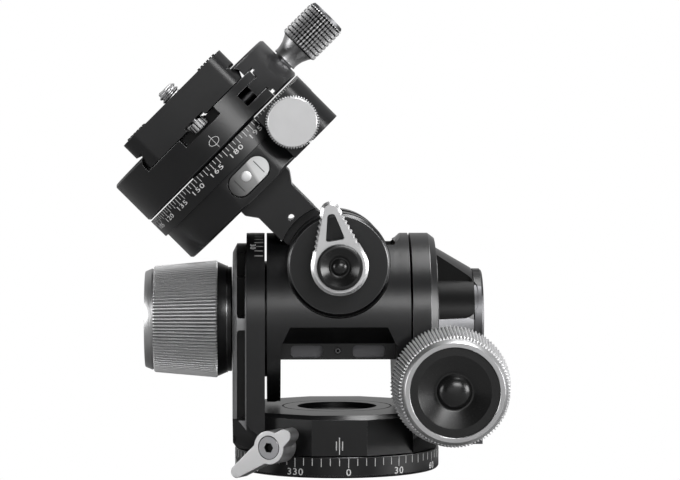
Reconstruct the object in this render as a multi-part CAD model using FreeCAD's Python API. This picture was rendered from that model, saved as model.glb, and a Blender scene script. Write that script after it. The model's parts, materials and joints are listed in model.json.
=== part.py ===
import FreeCAD, Part
import math
import os

# Geared tripod head, millimetres. +Z is up, the base stands on z = 0, and the front knob and
# lever face -Y. The lower axis (along X) pitches the drum, the upper axis (along Y) rolls the
# platform, and the platform is modelled upright before it is turned to its rest angle.

# Gaps and fits
slip_gap = 0.3             # faces of pieces that turn or slide past each other
running_gap = 0.05         # radial, shaft in its bush
slide_gap = 0.12           # flat sliding faces
cavity_gap = 0.4           # room round gears and nuts inside their housings
swing_gap = 0.4            # lowest point of the tilting drum over the yoke floor
small_bevel = 0.6          # broken outer edges
through = 80.0             # long enough to cut through anything

# Worm gears: both pairs are the same
gear_module = 0.8
wheel_teeth = 32
worm_pitch_radius = 4.2
pressure_angle = 20.0      # degrees
flank_relief = 0.06        # taken off every flank for backlash
thread_sink = 0.24         # foot of the thread inside the worm's core
wheel_width = 5.0
worm_length = 12.5
thread_steps = 18          # flat facets in one turn of the thread
worm_shaft_radius = 3.0
worm_bearing_width = 2.8
shaft_collar_gap = 1.0     # thread end to bearing

# Base that screws to the tripod
base_radius = 30.0
base_ring_height = 6.1
socket_radius = 4.7625     # 3/8 inch thread
socket_depth = 12.5
socket_bush_wall = 1.75
pan_spindle_radius = 8.5
spindle_flange_radius = 13.0
spindle_flange_height = 3.0
retainer_radius = 11.4
retainer_height = 2.8

# Yoke: faceted base block and two arms
facet_count = 12
facet_setback = 0.5        # flat of the block inside the base ring
block_height = 11.5
block_bevel = 1.2
block_bore_floor = 6.9     # plain bore below the retainer's counterbore
top_groove_radius = 16.2
top_groove_width = 0.5
top_groove_depth = 0.4
foot_angle = 55.0          # slope of the arm feet above the base ring
drum_radius = 25.3         # flanges of the drum and rounded tops of the arms
arm_ring_width = 5.3
side_gap = 0.6             # drum flange to arm
left_cheek_width = 4.05
left_cheek_step = 3.0      # the left cheek is this much smaller than the arm ring
left_cheek_bevel = 2.6
left_pocket_width = 2.35
left_pocket_depth = 8.0
left_pocket_wall = 1.3
left_pocket_top = 20.0     # above the pitch axis
left_pocket_crown = 13.0   # above this the upper pocket is deeper, to follow the round top
left_pocket_crown_floor = 8.0
left_pocket_web = 1.7      # half of the web between the two pockets
left_pocket_round = 0.9    # outer corners at the web
left_pocket_foot = 9.5     # above the underside of the yoke
right_ring_bevel_width = 1.9
right_ring_bevel = 1.4
right_step_width = 0.4
arm_screw_radius = 2.5
arm_screw_head_radius = 4.2
arm_screw_head_height = 3.0
arm_screw_spacing = 17.0
arm_screw_length = 14.0

# Pan lock lever on the base block
pan_lock_turn = 30.0       # degrees left of the front
pan_lock_height = 3.1      # above the underside of the yoke
pan_lock_screw_radius = 2.5
pan_lock_stand_off = 11.0  # lever face to the block's facet
pan_lock_boss_radius = 4.8
pan_lock_boss_depth = 7.5
pan_lock_wing_depth = 5.0
pan_lock_long_arm = 13.0
pan_lock_long_root = 3.6   # half width of the long arm at the hub
pan_lock_long_tip = 1.8
pan_lock_short_arm = 6.2
pan_lock_short_root = 3.2
pan_lock_short_tip = 2.0
pan_lock_droop = 35.0      # degrees, long arm below level at rest
pan_lock_cap_radius = 3.35
pan_lock_cap_depth = 1.0
pan_shoe_length = 3.0

# Drum that pitches between the arms
drum_half_length = 20.65
flange_width = 2.35
flange_bevel_width = 2.1
drum_waist_step = 1.7      # the waist is this much smaller than the flanges
drum_boss_radius = 17.0
drum_boss_entry = 0.5      # how far the boss stands inside the arm's recess
drum_foot_cut = 23.65      # flat under the flanges, below the pitch axis
front_cut_start = 0.7      # below the pitch axis
front_cut_slant = 5.7
front_cut_half = 14.0
window_half_width = 16.7
belly_half_width = 12.0    # front to back half width of the lower body
belly_depth = 11.05        # underside of the lower body, below the pitch axis
belly_pocket_width = 9.4
belly_pocket_height = 3.5
belly_pocket_rim = 0.6     # under the pocket
belly_pocket_depth = 3.0
belly_pocket_across = 9.0  # from the middle
belly_pocket_round = 1.2
trunnion_radius = 9.0
trunnion_start = 12.5      # from the middle of the drum
bush_wall = 2.0
wheel_seat_radius = 6.0
wheel_nut_radius = 8.0
wheel_nut_width = 2.8

# Upper drum: carries the roll axle
cheek_radius = 15.0
cheek_front = 23.0
cheek_plate_width = 2.8
cheek_plate_radius = 14.8
cheek_recess_gap = 0.2     # wider than the cheek, so the cheek plate stands free of the drum
cheek_bevel = 0.7
hub_half_width = 7.2
hub_radius = 11.3
roll_axle_radius = 4.0
roll_axle_half_length = 19.6
roll_bush_wall = 2.0

# Gear housing on the right arm
housing_cone_large = 21.1
housing_cone_small = 15.0
housing_cone_length = 10.5
housing_disc_radius = 14.8
housing_disc_width = 2.65
housing_disc_groove = 0.4
housing_block_width = 12.3
housing_block_reach = 1.0  # in front of the arms
housing_block_rear = 17.0
housing_block_bottom = 9.4
housing_block_drop = 3.0   # top of the block, below the pitch axis
housing_block_round = 5.0
worm_centre_offset = 2.75  # pitch worm beyond the housing's seat on the arm
housing_pocket_floor = 1.2 # above the pitch axis
housing_pocket_end = 11.9
housing_pocket_back = 8.6
housing_pocket_low_round = 4.5
housing_pocket_rear_round = 3.0
wheel_case_wall = 0.45
worm_bore_end = 13.0

# Large knobs: the pitch knob and the roll knob are the same
knob_collar_radius = 15.35
knob_collar_width = 1.2
knob_ring_width = 0.35
knob_ring_radius = 15.7
knob_shoulder = 4.1
knob_large_radius = 17.2
knob_barrel_width = 18.7
knob_small_radius = 15.45
knob_groove_width = 0.5
knob_groove_depth = 0.7
knob_rim_radius = 14.05
knob_length = 25.4
knob_face_radius = 12.65
knob_face_recess = 1.0
knob_dish_radius = 10.1
knob_dish_depth = 3.0
knob_dome_radius = 5.0
knob_dome_height = 2.6
knob_flat_count = 50       # flats round the tapered barrel, half as many as its ribs

# Release lever on the front of the roll axle
release_stud_radius = 3.0
release_collar_radius = 7.4
release_back = 30.0
release_front = 34.0
release_hub_radius = 8.2
release_tip_radius = 2.8
release_arm = 16.0
release_lean = 9.5         # degrees to the left at rest
release_window_low = 7.8
release_window_high = 15.3
release_window_wide = 2.8  # half widths at the two ends
release_window_narrow = 1.0
release_window_round = 0.8
release_tooth_count = 8
release_tooth_pitch = 1.25
release_tooth_depth = 0.6
release_teeth_start = 6.6
release_cap_radius = 6.55
release_cap_front = 35.7
release_cap_dish_radius = 5.35
release_cap_dish_depth = 2.0
release_dome_radius = 2.5
release_dome_height = 1.7

# Platform, upright: heights are above the roll axis, X runs across the clamp
rest_roll = -45.0          # degrees about +Y
neck_half_width = 6.9
neck_half_depth = 15.0
neck_relief_radius = 17.3
neck_flare_start = 25.6
neck_flare_end = 28.8
neck_collar_half = 9.2
neck_hole_radius = 0.85
neck_hole_lip = 3.0        # thickness at the front with the small hole
neck_hole_rear_radius = 1.45
neck_hole_height = 19.1
deck_bottom = 30.7
deck_radius = 29.4
deck_height = 10.05
level_flat_depth = 1.0
level_half_width = 9.65
level_height = 5.6         # middle of the vial above the deck's underside
level_half_length = 3.4
level_pocket_radius = 3.7
level_pocket_depth = 4.5
level_vial_radius = 3.3
dial_overhang = 0.9        # beyond the deck
dial_height = 6.15
dial_bore = 22.0
top_spindle_radius = 6.0
top_spindle_flange = 13.0
top_spindle_flange_height = 1.5
top_bush_radius = 9.0
top_bush_height = 2.4
top_retainer_radius = 8.6
top_retainer_height = 1.5
deck_lock_inset = 9.9      # screw from the deck's rim, across
deck_lock_height = 7.8     # above the deck's underside
deck_lock_boss_near = 6.5  # from the screw towards the level
deck_lock_boss_far = 10.3
deck_lock_boss_top = 15.5
deck_lock_boss_reach = 1.1 # beyond the deck
deck_lock_boss_round = 6.0
deck_lock_radius = 7.6
deck_lock_face_radius = 6.8
deck_lock_width = 4.9
deck_lock_screw_radius = 2.0
deck_lock_screw_depth = 22.0
deck_slit_width = 1.0

# Quick-release clamp
clamp_overhang = 1.0       # beyond the deck
clamp_height = 14.4
clamp_floor = 4.1          # below the clamp's top
channel_half_width = 6.8
channel_depth = 2.9
land_half_length = 10.0
jaw_split = 21.3
jaw_gap = 0.3
tongue_hold = 0.9          # of the tongue still in its slot with the jaw fully open
tongue_height = 4.0
tongue_slot_depth = 7.5
clamp_screw_height = 5.5   # above the clamp's underside
clamp_screw_radius = 3.0
clamp_screw_tip = 9.6
jaw_travel = 3.0
jaw_relief = 1.0
clamp_knob_gap = 0.4
clamp_knob_neck = 5.6
clamp_knob_neck_radius = 3.85
clamp_knob_radius = 6.2
clamp_knob_barrel = 12.0
clamp_knob_cap_radius = 5.45
clamp_knob_cap = 0.8

# Camera plate, 38 mm dovetail
plate_half_width = 19.4
plate_slab = 5.25
plate_waist_half = 17.1
plate_dovetail_half = 19.25
plate_dovetail_drop = 2.7  # waist to the widest point
plate_foot_half = 18.3
plate_foot_drop = 4.8      # waist to the underside
plate_over_clamp = 0.9     # waist above the clamp's top
plate_corner = 5.0
plate_notch_half = 3.6
plate_notch_depth = 1.1
pad_inner = 10.7
pad_outer = 17.6
pad_end_gap = 3.6          # to the end of the plate
pad_sink = 0.6
pad_ridge = 0.45
pad_ridge_count = 6
pad_ridge_gap = 0.35
stop_head_radius = 2.55
stop_head_drop = 2.3       # below the plate
stop_shank_radius = 1.5
stop_shank_length = 4.0
stop_end_distance = 5.25   # from the end of the plate
camera_screw_radius = 3.175
camera_screw_stand = 3.8
camera_screw_gap = 0.08
camera_shank_radius = 2.6  # plain shank inside the plate, under the thread
camera_head_radius = 6.2
camera_head_height = 3.0

# Places that follow from the sizes above
origin = FreeCAD.Vector(0, 0, 0)
up = FreeCAD.Vector(0, 0, 1)
right = FreeCAD.Vector(1, 0, 0)
back = FreeCAD.Vector(0, 1, 0)
front = FreeCAD.Vector(0, -1, 0)
left = FreeCAD.Vector(-1, 0, 0)
wheel_pitch_radius = gear_module * wheel_teeth / 2
wheel_tip_radius = wheel_pitch_radius + gear_module
worm_tip_radius = worm_pitch_radius + gear_module
gear_dedendum = 1.25 * gear_module
gear_centres = wheel_pitch_radius + worm_pitch_radius
worm_bore_radius = worm_tip_radius + cavity_gap
thread_pitch = math.pi * gear_module
yoke_bottom = base_ring_height + slip_gap
yoke_floor = yoke_bottom + block_height
pitch_height = yoke_floor + swing_gap + drum_radius
roll_height = pitch_height + gear_centres
pitch_worm_height = pitch_height - gear_centres
facet_radius = base_radius - facet_setback
arm_inner = drum_half_length + side_gap
arm_ring_outer = arm_inner + arm_ring_width
left_outer = arm_ring_outer + left_cheek_width
right_bevel_outer = arm_ring_outer + right_ring_bevel_width
right_outer = right_bevel_outer + right_step_width
pitch_worm_across = right_outer + worm_centre_offset
waist_radius = drum_radius - drum_waist_step
bush_radius = trunnion_radius + bush_wall
boss_recess_end = arm_inner + drum_boss_entry + slip_gap
housing_block_front = drum_radius + housing_block_reach
level_flat = deck_radius - level_flat_depth
deck_lock_across = deck_radius - deck_lock_inset
dial_radius = deck_radius + dial_overhang
clamp_radius = deck_radius + clamp_overhang
deck_lock_boss_front = deck_radius + deck_lock_boss_reach
dial_bottom = deck_bottom + deck_height
clamp_bottom = dial_bottom + dial_height + slip_gap
clamp_top = clamp_bottom + clamp_height
clamp_seat = clamp_top - clamp_floor
waist_height = clamp_top + plate_over_clamp
plate_bottom = waist_height - plate_foot_drop
plate_top = waist_height + plate_slab
tongue_reach = jaw_travel + tongue_hold
plate_half_length = math.sqrt(clamp_radius ** 2 - plate_waist_half ** 2)  # as long as the jaws
pad_half_length = plate_half_length - pad_end_gap
left_knob_seat = left_outer + slip_gap
front_knob_seat = housing_block_front + slip_gap
pan_lock_axis = FreeCAD.Vector(-math.sin(math.radians(pan_lock_turn)),
                               -math.cos(math.radians(pan_lock_turn)), 0)


def corner(x, y, z):
    return FreeCAD.Vector(x, y, z)


def block(x_limits, y_limits, z_limits):
    """Box between two limits along each axis."""
    start = corner(x_limits[0], y_limits[0], z_limits[0])
    size = [limits[1] - limits[0] for limits in (x_limits, y_limits, z_limits)]
    return Part.makeBox(size[0], size[1], size[2], start)


def prism(outline, sweep):
    """Flat outline swept along a straight vector."""
    return Part.Face(Part.makePolygon(outline + [outline[0]])).extrude(sweep)


def laid_along(shape, axis, place):
    """Shape modelled about Z at the origin, moved to another axis and place."""
    moved = shape.copy()
    moved.Placement = FreeCAD.Placement(place, FreeCAD.Rotation(up, axis))
    return moved


def turned(profile, axis=up, place=origin):
    """Lathe-turned solid; the profile lists its half-section as (radius, distance along the axis)."""
    outline = [corner(radius, 0, height) for radius, height in profile]
    section = Part.Face(Part.makePolygon(outline + [outline[0]]))
    return laid_along(section.revolve(origin, up, 360), axis, place)


def rod(radius, start, end, axis=up, place=origin):
    """Plain cylinder between two distances along its axis."""
    return laid_along(Part.makeCylinder(radius, end - start, corner(0, 0, start)), axis, place)


def tube(outer, inner, start, end, axis=up, place=origin):
    profile = [(inner, start), (outer, start), (outer, end), (inner, end)]
    return turned(profile, axis, place)


def merged(pieces):
    """Pieces that are machined from one lump."""
    return pieces[0].fuse(pieces[1:]).removeSplitter()


def dome(radius, height):
    """Cap of a ball, standing on the ground plane."""
    ball_radius = (radius ** 2 + height ** 2) / (2 * height)
    ball = Part.makeSphere(ball_radius, corner(0, 0, height - ball_radius))
    return ball.common(rod(ball_radius, 0, height))


# Gears

def pitch_axis_point(x=0.0):
    return corner(x, 0, pitch_height)


def roll_axis_point():
    return corner(0, 0, roll_height)


def thread_section(turns, half_root, half_tip):
    """Trapezoid of the worm thread at one place along its helix."""
    inside = worm_pitch_radius - gear_dedendum - thread_sink
    height = thread_pitch * turns
    shape = [(inside, -half_root), (worm_tip_radius, -half_tip),
             (worm_tip_radius, half_tip), (inside, half_root)]
    angle = 2 * math.pi * turns
    return [corner(radius * math.cos(angle), radius * math.sin(angle), height + offset)
            for radius, offset in shape]


def facet(a, b, c):
    return Part.Face(Part.makePolygon([a, b, c, a]))


def worm_thread():
    """Single-start right-hand thread as a closed shell of flat facets."""
    slope = math.tan(math.radians(pressure_angle))
    half_tip = thread_pitch / 4 - flank_relief - gear_module * slope
    half_root = half_tip + (gear_module + gear_dedendum + thread_sink) * slope
    half_count = int((worm_length / 2 - half_root) / thread_pitch * thread_steps)
    sections = [thread_section(step / thread_steps, half_root, half_tip)
                for step in range(-half_count, half_count + 1)]
    faces = [Part.Face(Part.makePolygon(end + [end[0]])) for end in (sections[0], sections[-1])]
    for near, far in zip(sections, sections[1:]):
        for side in range(len(near)):
            following = (side + 1) % len(near)
            faces.append(facet(near[side], near[following], far[side]))
            faces.append(facet(near[following], far[following], far[side]))
    return Part.makeSolid(Part.makeShell(faces))


def worm_core():
    """Root cylinder of the worm, faceted like its thread."""
    radius = worm_pitch_radius - gear_dedendum
    ring = [corner(radius * math.cos(2 * math.pi * step / thread_steps),
                   radius * math.sin(2 * math.pi * step / thread_steps), -worm_length / 2)
            for step in range(thread_steps)]
    return prism(ring, up * worm_length)


def in_mesh(shape, axis, towards, place):
    """Gear modelled about Z: its +X side is turned towards its partner."""
    shape.Placement = FreeCAD.Placement(place, FreeCAD.Rotation(towards, axis.cross(towards), axis, "ZXY"))
    return shape


def worm(axis, place):
    """Worm below its wheel, with a thread crest at mid-length at the top."""
    blank = worm_core().fuse(worm_thread())
    bored = blank.cut(rod(worm_shaft_radius, -worm_length, worm_length))
    return in_mesh(bored, axis, up, place)


def wheel_gap(radius):
    """Half the space between two wheel teeth at a radius, along the tangent."""
    base_circle = wheel_pitch_radius * math.cos(math.radians(pressure_angle))
    pitch_roll = math.radians(pressure_angle)
    roll = math.acos(min(1.0, base_circle / radius))
    involute = (math.tan(pitch_roll) - pitch_roll) - (math.tan(roll) - roll)
    tooth = math.pi / 2 / wheel_teeth + involute
    return radius * math.sin(math.pi / wheel_teeth - tooth) + flank_relief


def worm_wheel(axis, place, bore):
    """Helical wheel above its worm, with the gap between two teeth at the bottom."""
    root = wheel_pitch_radius - gear_dedendum
    root_half = wheel_gap(root)
    tip_half = wheel_gap(wheel_tip_radius)
    widening = (tip_half - root_half) / (wheel_tip_radius - root)
    outside = wheel_tip_radius + gear_module
    outside_half = tip_half + widening * gear_module
    lead = thread_pitch / (2 * math.pi * worm_pitch_radius)
    run = wheel_width
    shape = [(root, -root_half), (outside, -outside_half), (outside, outside_half), (root, root_half)]
    outline = [corner(radius, offset - lead * run, -run) for radius, offset in shape]
    cutter = prism(outline, corner(0, 2 * lead * run, 2 * run))
    cutters = []
    for tooth in range(wheel_teeth):
        tooth_cutter = cutter.copy()
        tooth_cutter.rotate(origin, up, 360.0 * tooth / wheel_teeth)
        cutters.append(tooth_cutter)
    blank = tube(wheel_tip_radius, bore, -wheel_width / 2, wheel_width / 2)
    return in_mesh(blank.cut(Part.makeCompound(cutters)), axis, -up, place)


# Base that screws to the tripod

def make_base_ring():
    edge = small_bevel
    profile = [(spindle_flange_radius, 0), (base_radius - edge, 0), (base_radius, edge),
               (base_radius, base_ring_height), (pan_spindle_radius, base_ring_height),
               (pan_spindle_radius, spindle_flange_height), (spindle_flange_radius, spindle_flange_height)]
    return turned(profile)


def make_pan_spindle():
    bore = socket_radius + socket_bush_wall
    spindle_top = yoke_bottom + block_bore_floor + slip_gap
    profile = [(bore, 0), (spindle_flange_radius, 0), (spindle_flange_radius, spindle_flange_height),
               (pan_spindle_radius, spindle_flange_height), (pan_spindle_radius, spindle_top),
               (bore, spindle_top)]
    return turned(profile)


def make_socket_bush():
    return tube(socket_radius + socket_bush_wall, socket_radius, 0, socket_depth)


def make_pan_retainer():
    bottom = yoke_bottom + block_bore_floor + slip_gap
    edge = small_bevel
    profile = [(0, bottom), (retainer_radius, bottom), (retainer_radius, bottom + retainer_height - edge),
               (retainer_radius - edge, bottom + retainer_height), (0, bottom + retainer_height)]
    return turned(profile)


# Yoke

def facet_ring(inradius, height, count=facet_count):
    """Corners of a regular outline; with a count in fours one flat faces the front."""
    outside = inradius / math.cos(math.pi / count)
    angles = [2 * math.pi * (index + 0.5) / count for index in range(count)]
    return [corner(outside * math.cos(angle), outside * math.sin(angle), height) for angle in angles]


def faceted(rings):
    """Closed solid with flat sides between outlines stacked one over another."""
    faces = [Part.Face(Part.makePolygon(ring + [ring[0]])) for ring in (rings[0], rings[-1])]
    for lower, upper in zip(rings, rings[1:]):
        for index in range(len(lower)):
            following = (index + 1) % len(lower)
            outline = [lower[index], lower[following], upper[following], upper[index], lower[index]]
            faces.append(Part.Face(Part.makePolygon(outline)))
    return Part.makeSolid(Part.makeShell(faces))


def arm_screws(outer, axis):
    """Two screws through an arm into the block; outer is the arm's outside face along X."""
    height = yoke_bottom + block_height / 2
    seat = outer - arm_screw_head_height
    profile = [(0, seat - arm_screw_length), (arm_screw_radius, seat - arm_screw_length),
               (arm_screw_radius, seat), (arm_screw_head_radius, seat),
               (arm_screw_head_radius, outer), (0, outer)]
    return [turned(profile, axis, corner(0, side * arm_screw_spacing / 2, height)) for side in (-1, 1)]


def make_arm_screws():
    return Part.makeCompound(arm_screws(left_outer, left) + arm_screws(right_outer, right))


def pan_lock_centre(distance):
    """Point on the pan lock's screw axis, measured out from the middle of the base."""
    return pan_lock_axis * distance + up * (yoke_bottom + pan_lock_height)


def make_yoke_block():
    bevel_start = yoke_floor - block_bevel
    rings = [facet_ring(facet_radius, yoke_bottom), facet_ring(facet_radius, bevel_start),
             facet_ring(facet_radius - block_bevel, yoke_floor)]
    body = faceted(rings)
    sides = block((-arm_inner, arm_inner), (-base_radius, base_radius), (0, pitch_height))
    body = body.common(sides)
    bore_floor = yoke_bottom + block_bore_floor
    bore = rod(pan_spindle_radius + running_gap, 0, bore_floor)
    counterbore = rod(retainer_radius + slip_gap, bore_floor, through)
    groove = tube(top_groove_radius, top_groove_radius - top_groove_width,
                  yoke_floor - top_groove_depth, through)
    lock_hole = rod(pan_lock_screw_radius + running_gap, 0, through, pan_lock_axis, pan_lock_centre(0))
    fixings = arm_screws(left_outer, left) + arm_screws(right_outer, right)
    return body.cut([bore, counterbore, groove, lock_hole] + fixings)


def arm_slice(start, end, radius, bottom):
    """Part of an arm between two places along X: straight sides and a round top."""
    outline = [corner(start, -radius, pitch_height), corner(start, -radius, bottom),
               corner(start, radius, bottom), corner(start, radius, pitch_height)]
    straight = prism(outline, right * (end - start))
    return straight.fuse(rod(radius, start, end, right, pitch_axis_point()))


def arm_bevel(start, end, large, small, bottom):
    """Bevelled edge that runs up one side of an arm, over the top and down the other."""
    lower = [corner(start, -large, bottom), corner(start, large, bottom),
             corner(end, small, bottom), corner(end, -small, bottom)]
    straight = prism(lower, up * (pitch_height - bottom))
    top = turned([(0, start), (large, start), (small, end), (0, end)], right, pitch_axis_point())
    return straight.fuse(top)


def foot_cone():
    """Space under which the arm feet are bevelled, a faceted funnel opening upwards."""
    rise = 2 * pitch_height
    widening = rise / math.tan(math.radians(foot_angle))
    return faceted([facet_ring(facet_radius, yoke_bottom),
                    facet_ring(facet_radius + widening, yoke_bottom + rise)])


def edges_at(shape, x=None, y=None, z=None):
    """Straight edges whose middle lies at the given coordinates."""
    found = []
    for edge in shape.Edges:
        middle = edge.CenterOfMass
        offsets = [abs(value - wanted) for value, wanted in zip(middle, (x, y, z)) if wanted is not None]
        if max(offsets) < running_gap:
            found.append(edge)
    return found


def left_pockets():
    """Lightening pockets in the front and rear of the left cheek, with a web at the axis."""
    inner = arm_ring_outer + left_cheek_width - left_pocket_wall - left_pocket_width
    outer = inner + left_pocket_width
    radius = drum_radius - left_cheek_step
    floor = radius - left_pocket_depth
    top = pitch_height + left_pocket_top
    web_top = pitch_height + left_pocket_web
    web_bottom = pitch_height - left_pocket_web
    pockets = []
    for side in (-1, 1):
        reach = sorted((side * floor, side * through))
        upper = block((-outer, -inner), reach, (web_top, top))
        lower = block((-outer, -inner), reach, (yoke_bottom + left_pocket_foot, web_bottom))
        pockets.append(upper.makeFillet(left_pocket_round, edges_at(upper, x=-outer, z=web_top)))
        pockets.append(lower.makeFillet(left_pocket_round, edges_at(lower, x=-outer, z=web_bottom)))
        crown_reach = sorted((side * left_pocket_crown_floor, side * through))
        pockets.append(block((-outer, -inner), crown_reach, (pitch_height + left_pocket_crown, top)))
    return pockets


def boss_recess(direction):
    """Shallow round recess in an arm that the end of the drum turns in."""
    return rod(drum_boss_radius + slip_gap, 0, boss_recess_end, direction, pitch_axis_point())


def make_left_arm():
    """Stepped arm: a ring beside the drum and a smaller pocketed cheek outside it."""
    bottom = yoke_bottom
    cheek = drum_radius - left_cheek_step
    bevel_start = left_outer - left_cheek_bevel / 2
    ring = arm_slice(-arm_ring_outer, -arm_inner, drum_radius, bottom)
    plate = arm_slice(-bevel_start, -arm_ring_outer, cheek, bottom)
    bevel = arm_bevel(-bevel_start, -left_outer, cheek, cheek - left_cheek_bevel, bottom)
    arm = merged([ring, plate, bevel]).common(foot_cone())
    bore = rod(bush_radius, -through, 0, right, pitch_axis_point())
    return arm.cut([bore, boss_recess(left)] + left_pockets() + arm_screws(left_outer, left))


def make_right_arm():
    """Arm with a bevelled ring beside the drum and a seat for the gear housing."""
    bottom = yoke_bottom
    ring = arm_slice(arm_inner, arm_ring_outer, drum_radius, bottom)
    bevel = arm_bevel(arm_ring_outer, right_bevel_outer, drum_radius, drum_radius - right_ring_bevel, bottom)
    step = arm_slice(right_bevel_outer, right_outer, housing_cone_large, bottom)
    arm = merged([ring, bevel, step]).common(foot_cone())
    bore = rod(bush_radius, 0, through, right, pitch_axis_point())
    return arm.cut([bore, boss_recess(right), pitch_worm_bore()] + arm_screws(right_outer, right))


def make_left_bush():
    bore = trunnion_radius + running_gap
    return tube(bush_radius, bore, -left_outer, -boss_recess_end, right, pitch_axis_point())


def make_right_bush():
    bore = trunnion_radius + running_gap
    return tube(bush_radius, bore, boss_recess_end, right_outer, right, pitch_axis_point())


# Pan lock

def link(hub_radius, tip_radius, length, thickness):
    """Flat lever from a hub at the origin to a tip along +X, with straight sides tangent to both."""
    slope = math.acos((hub_radius - tip_radius) / length)
    near = corner(hub_radius * math.cos(slope), hub_radius * math.sin(slope), 0)
    far = corner(length + tip_radius * math.cos(slope), tip_radius * math.sin(slope), 0)
    near_low = corner(near.x, -near.y, 0)
    far_low = corner(far.x, -far.y, 0)
    edges = [Part.Arc(near, corner(-hub_radius, 0, 0), near_low).toShape(),
             Part.LineSegment(near_low, far_low).toShape(),
             Part.Arc(far_low, corner(length + tip_radius, 0, 0), far).toShape(),
             Part.LineSegment(far, near).toShape()]
    return Part.Face(Part.Wire(edges)).extrude(up * thickness)


def pan_lock_place(shape):
    """Lever modelled face up on the ground plane, moved to the lock screw and turned to its droop."""
    shape.rotate(origin, up, 180 + pan_lock_droop)
    sideways = up.cross(pan_lock_axis)
    turn = FreeCAD.Rotation(sideways, up, pan_lock_axis, "ZXY")
    shape.Placement = FreeCAD.Placement(pan_lock_centre(0), turn).multiply(shape.Placement)
    return shape


def pan_lock_face():
    """Distance of the lever's face from the middle of the base."""
    return facet_radius + pan_lock_stand_off


def make_pan_lock_lever():
    face = pan_lock_face()
    long_arm = link(pan_lock_long_root, pan_lock_long_tip, pan_lock_long_arm, pan_lock_wing_depth)
    short_arm = link(pan_lock_short_root, pan_lock_short_tip, pan_lock_short_arm, pan_lock_wing_depth)
    short_arm.rotate(origin, up, 180)
    wings = long_arm.fuse(short_arm)
    wings.translate(up * (face - pan_lock_wing_depth))
    boss = rod(pan_lock_boss_radius, face - pan_lock_boss_depth, face)
    cap_seat = rod(pan_lock_cap_radius, face - pan_lock_cap_depth, face)
    bore = rod(pan_lock_screw_radius, 0, face)
    lever = merged([wings, boss]).cut([cap_seat, bore])
    return pan_lock_place(lever)


def make_pan_lock_screw():
    """Clamping screw with its flush cap, from the brass shoe to the lever's face."""
    face = pan_lock_face()
    start = pan_spindle_radius + running_gap + pan_shoe_length + running_gap
    profile = [(0, start), (pan_lock_screw_radius, start), (pan_lock_screw_radius, face - pan_lock_cap_depth),
               (pan_lock_cap_radius, face - pan_lock_cap_depth), (pan_lock_cap_radius, face), (0, face)]
    return turned(profile, pan_lock_axis, pan_lock_centre(0))


def make_pan_lock_shoe():
    """Brass pad that the screw presses on the spindle."""
    start = pan_spindle_radius + running_gap
    pad = rod(pan_lock_screw_radius, 0, start + pan_shoe_length, pan_lock_axis, pan_lock_centre(0))
    return pad.cut(rod(start, 0, through))


# Drum

def belly_section():
    """Side view of what is cut away under the waist, at the front."""
    top = pitch_height - front_cut_start
    slant_end = top - front_cut_slant
    return [corner(0, -through, top), corner(0, -waist_radius, top),
            corner(0, -belly_half_width, slant_end), corner(0, -belly_half_width, 0),
            corner(0, -through, 0)]


def belly_cut():
    """Front cut under the waist: it widens from the slanted edge down to the window."""
    top = pitch_height - front_cut_start
    slant_end = top - front_cut_slant
    front_view = [corner(-front_cut_half, 0, top), corner(front_cut_half, 0, top),
                  corner(window_half_width, 0, slant_end), corner(window_half_width, 0, 0),
                  corner(-window_half_width, 0, 0), corner(-window_half_width, 0, slant_end)]
    widening = prism(front_view, front * through)
    depth = prism(belly_section(), right * through)
    depth.translate(left * (through / 2))
    return depth.common(widening)


def belly_pocket(across):
    """Pocket with rounded corners in the front of the lower body."""
    half = belly_pocket_width / 2
    low = pitch_height - belly_depth + belly_pocket_rim
    start = -belly_half_width
    pocket = block((across - half, across + half), (start - through, start + belly_pocket_depth),
                   (low, low + belly_pocket_height))
    corners = edges_at(pocket, x=across - half, z=low) + edges_at(pocket, x=across + half, z=low)
    top = low + belly_pocket_height
    corners += edges_at(pocket, x=across - half, z=top) + edges_at(pocket, x=across + half, z=top)
    return pocket.makeFillet(belly_pocket_round, corners)


def upper_drum_cavity():
    """Room for the roll wheel and for the platform's neck over its whole swing."""
    half = hub_half_width + cavity_gap
    swing = neck_relief_radius + cavity_gap
    wheel_room = rod(wheel_tip_radius + cavity_gap, -half, half, back, roll_axis_point())
    swing_room = rod(swing, -half, half, back, roll_axis_point())
    upper_half = block((-swing, swing), (-half, half), (roll_height, roll_height + through))
    return [wheel_room, swing_room.common(upper_half)]


def neck_corner():
    """Height over the roll axis, along the neck, of the corners of its round relief."""
    return math.sqrt(neck_relief_radius ** 2 - neck_half_width ** 2)


def neck_room():
    """Room for the neck above the waist: between its two end positions and beside both."""
    half_depth = neck_half_depth + cavity_gap
    lean = math.radians(rest_roll)
    reach = (neck_corner() + neck_half_width) * math.sin(-lean) + cavity_gap
    floor = roll_height + (neck_corner() - neck_half_width) * math.cos(lean) - cavity_gap
    top_room = block((-reach, reach), (-half_depth, half_depth), (floor, roll_height + through))
    ends = []
    half_width = neck_half_width + cavity_gap
    foot = neck_corner() - cavity_gap
    for side in (-1, 1):
        post = block((-half_width, half_width), (-half_depth, half_depth), (foot, through))
        post.Placement = FreeCAD.Placement(roll_axis_point(), FreeCAD.Rotation(back, side * rest_roll))
        ends.append(post)
    return [top_room] + ends


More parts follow.
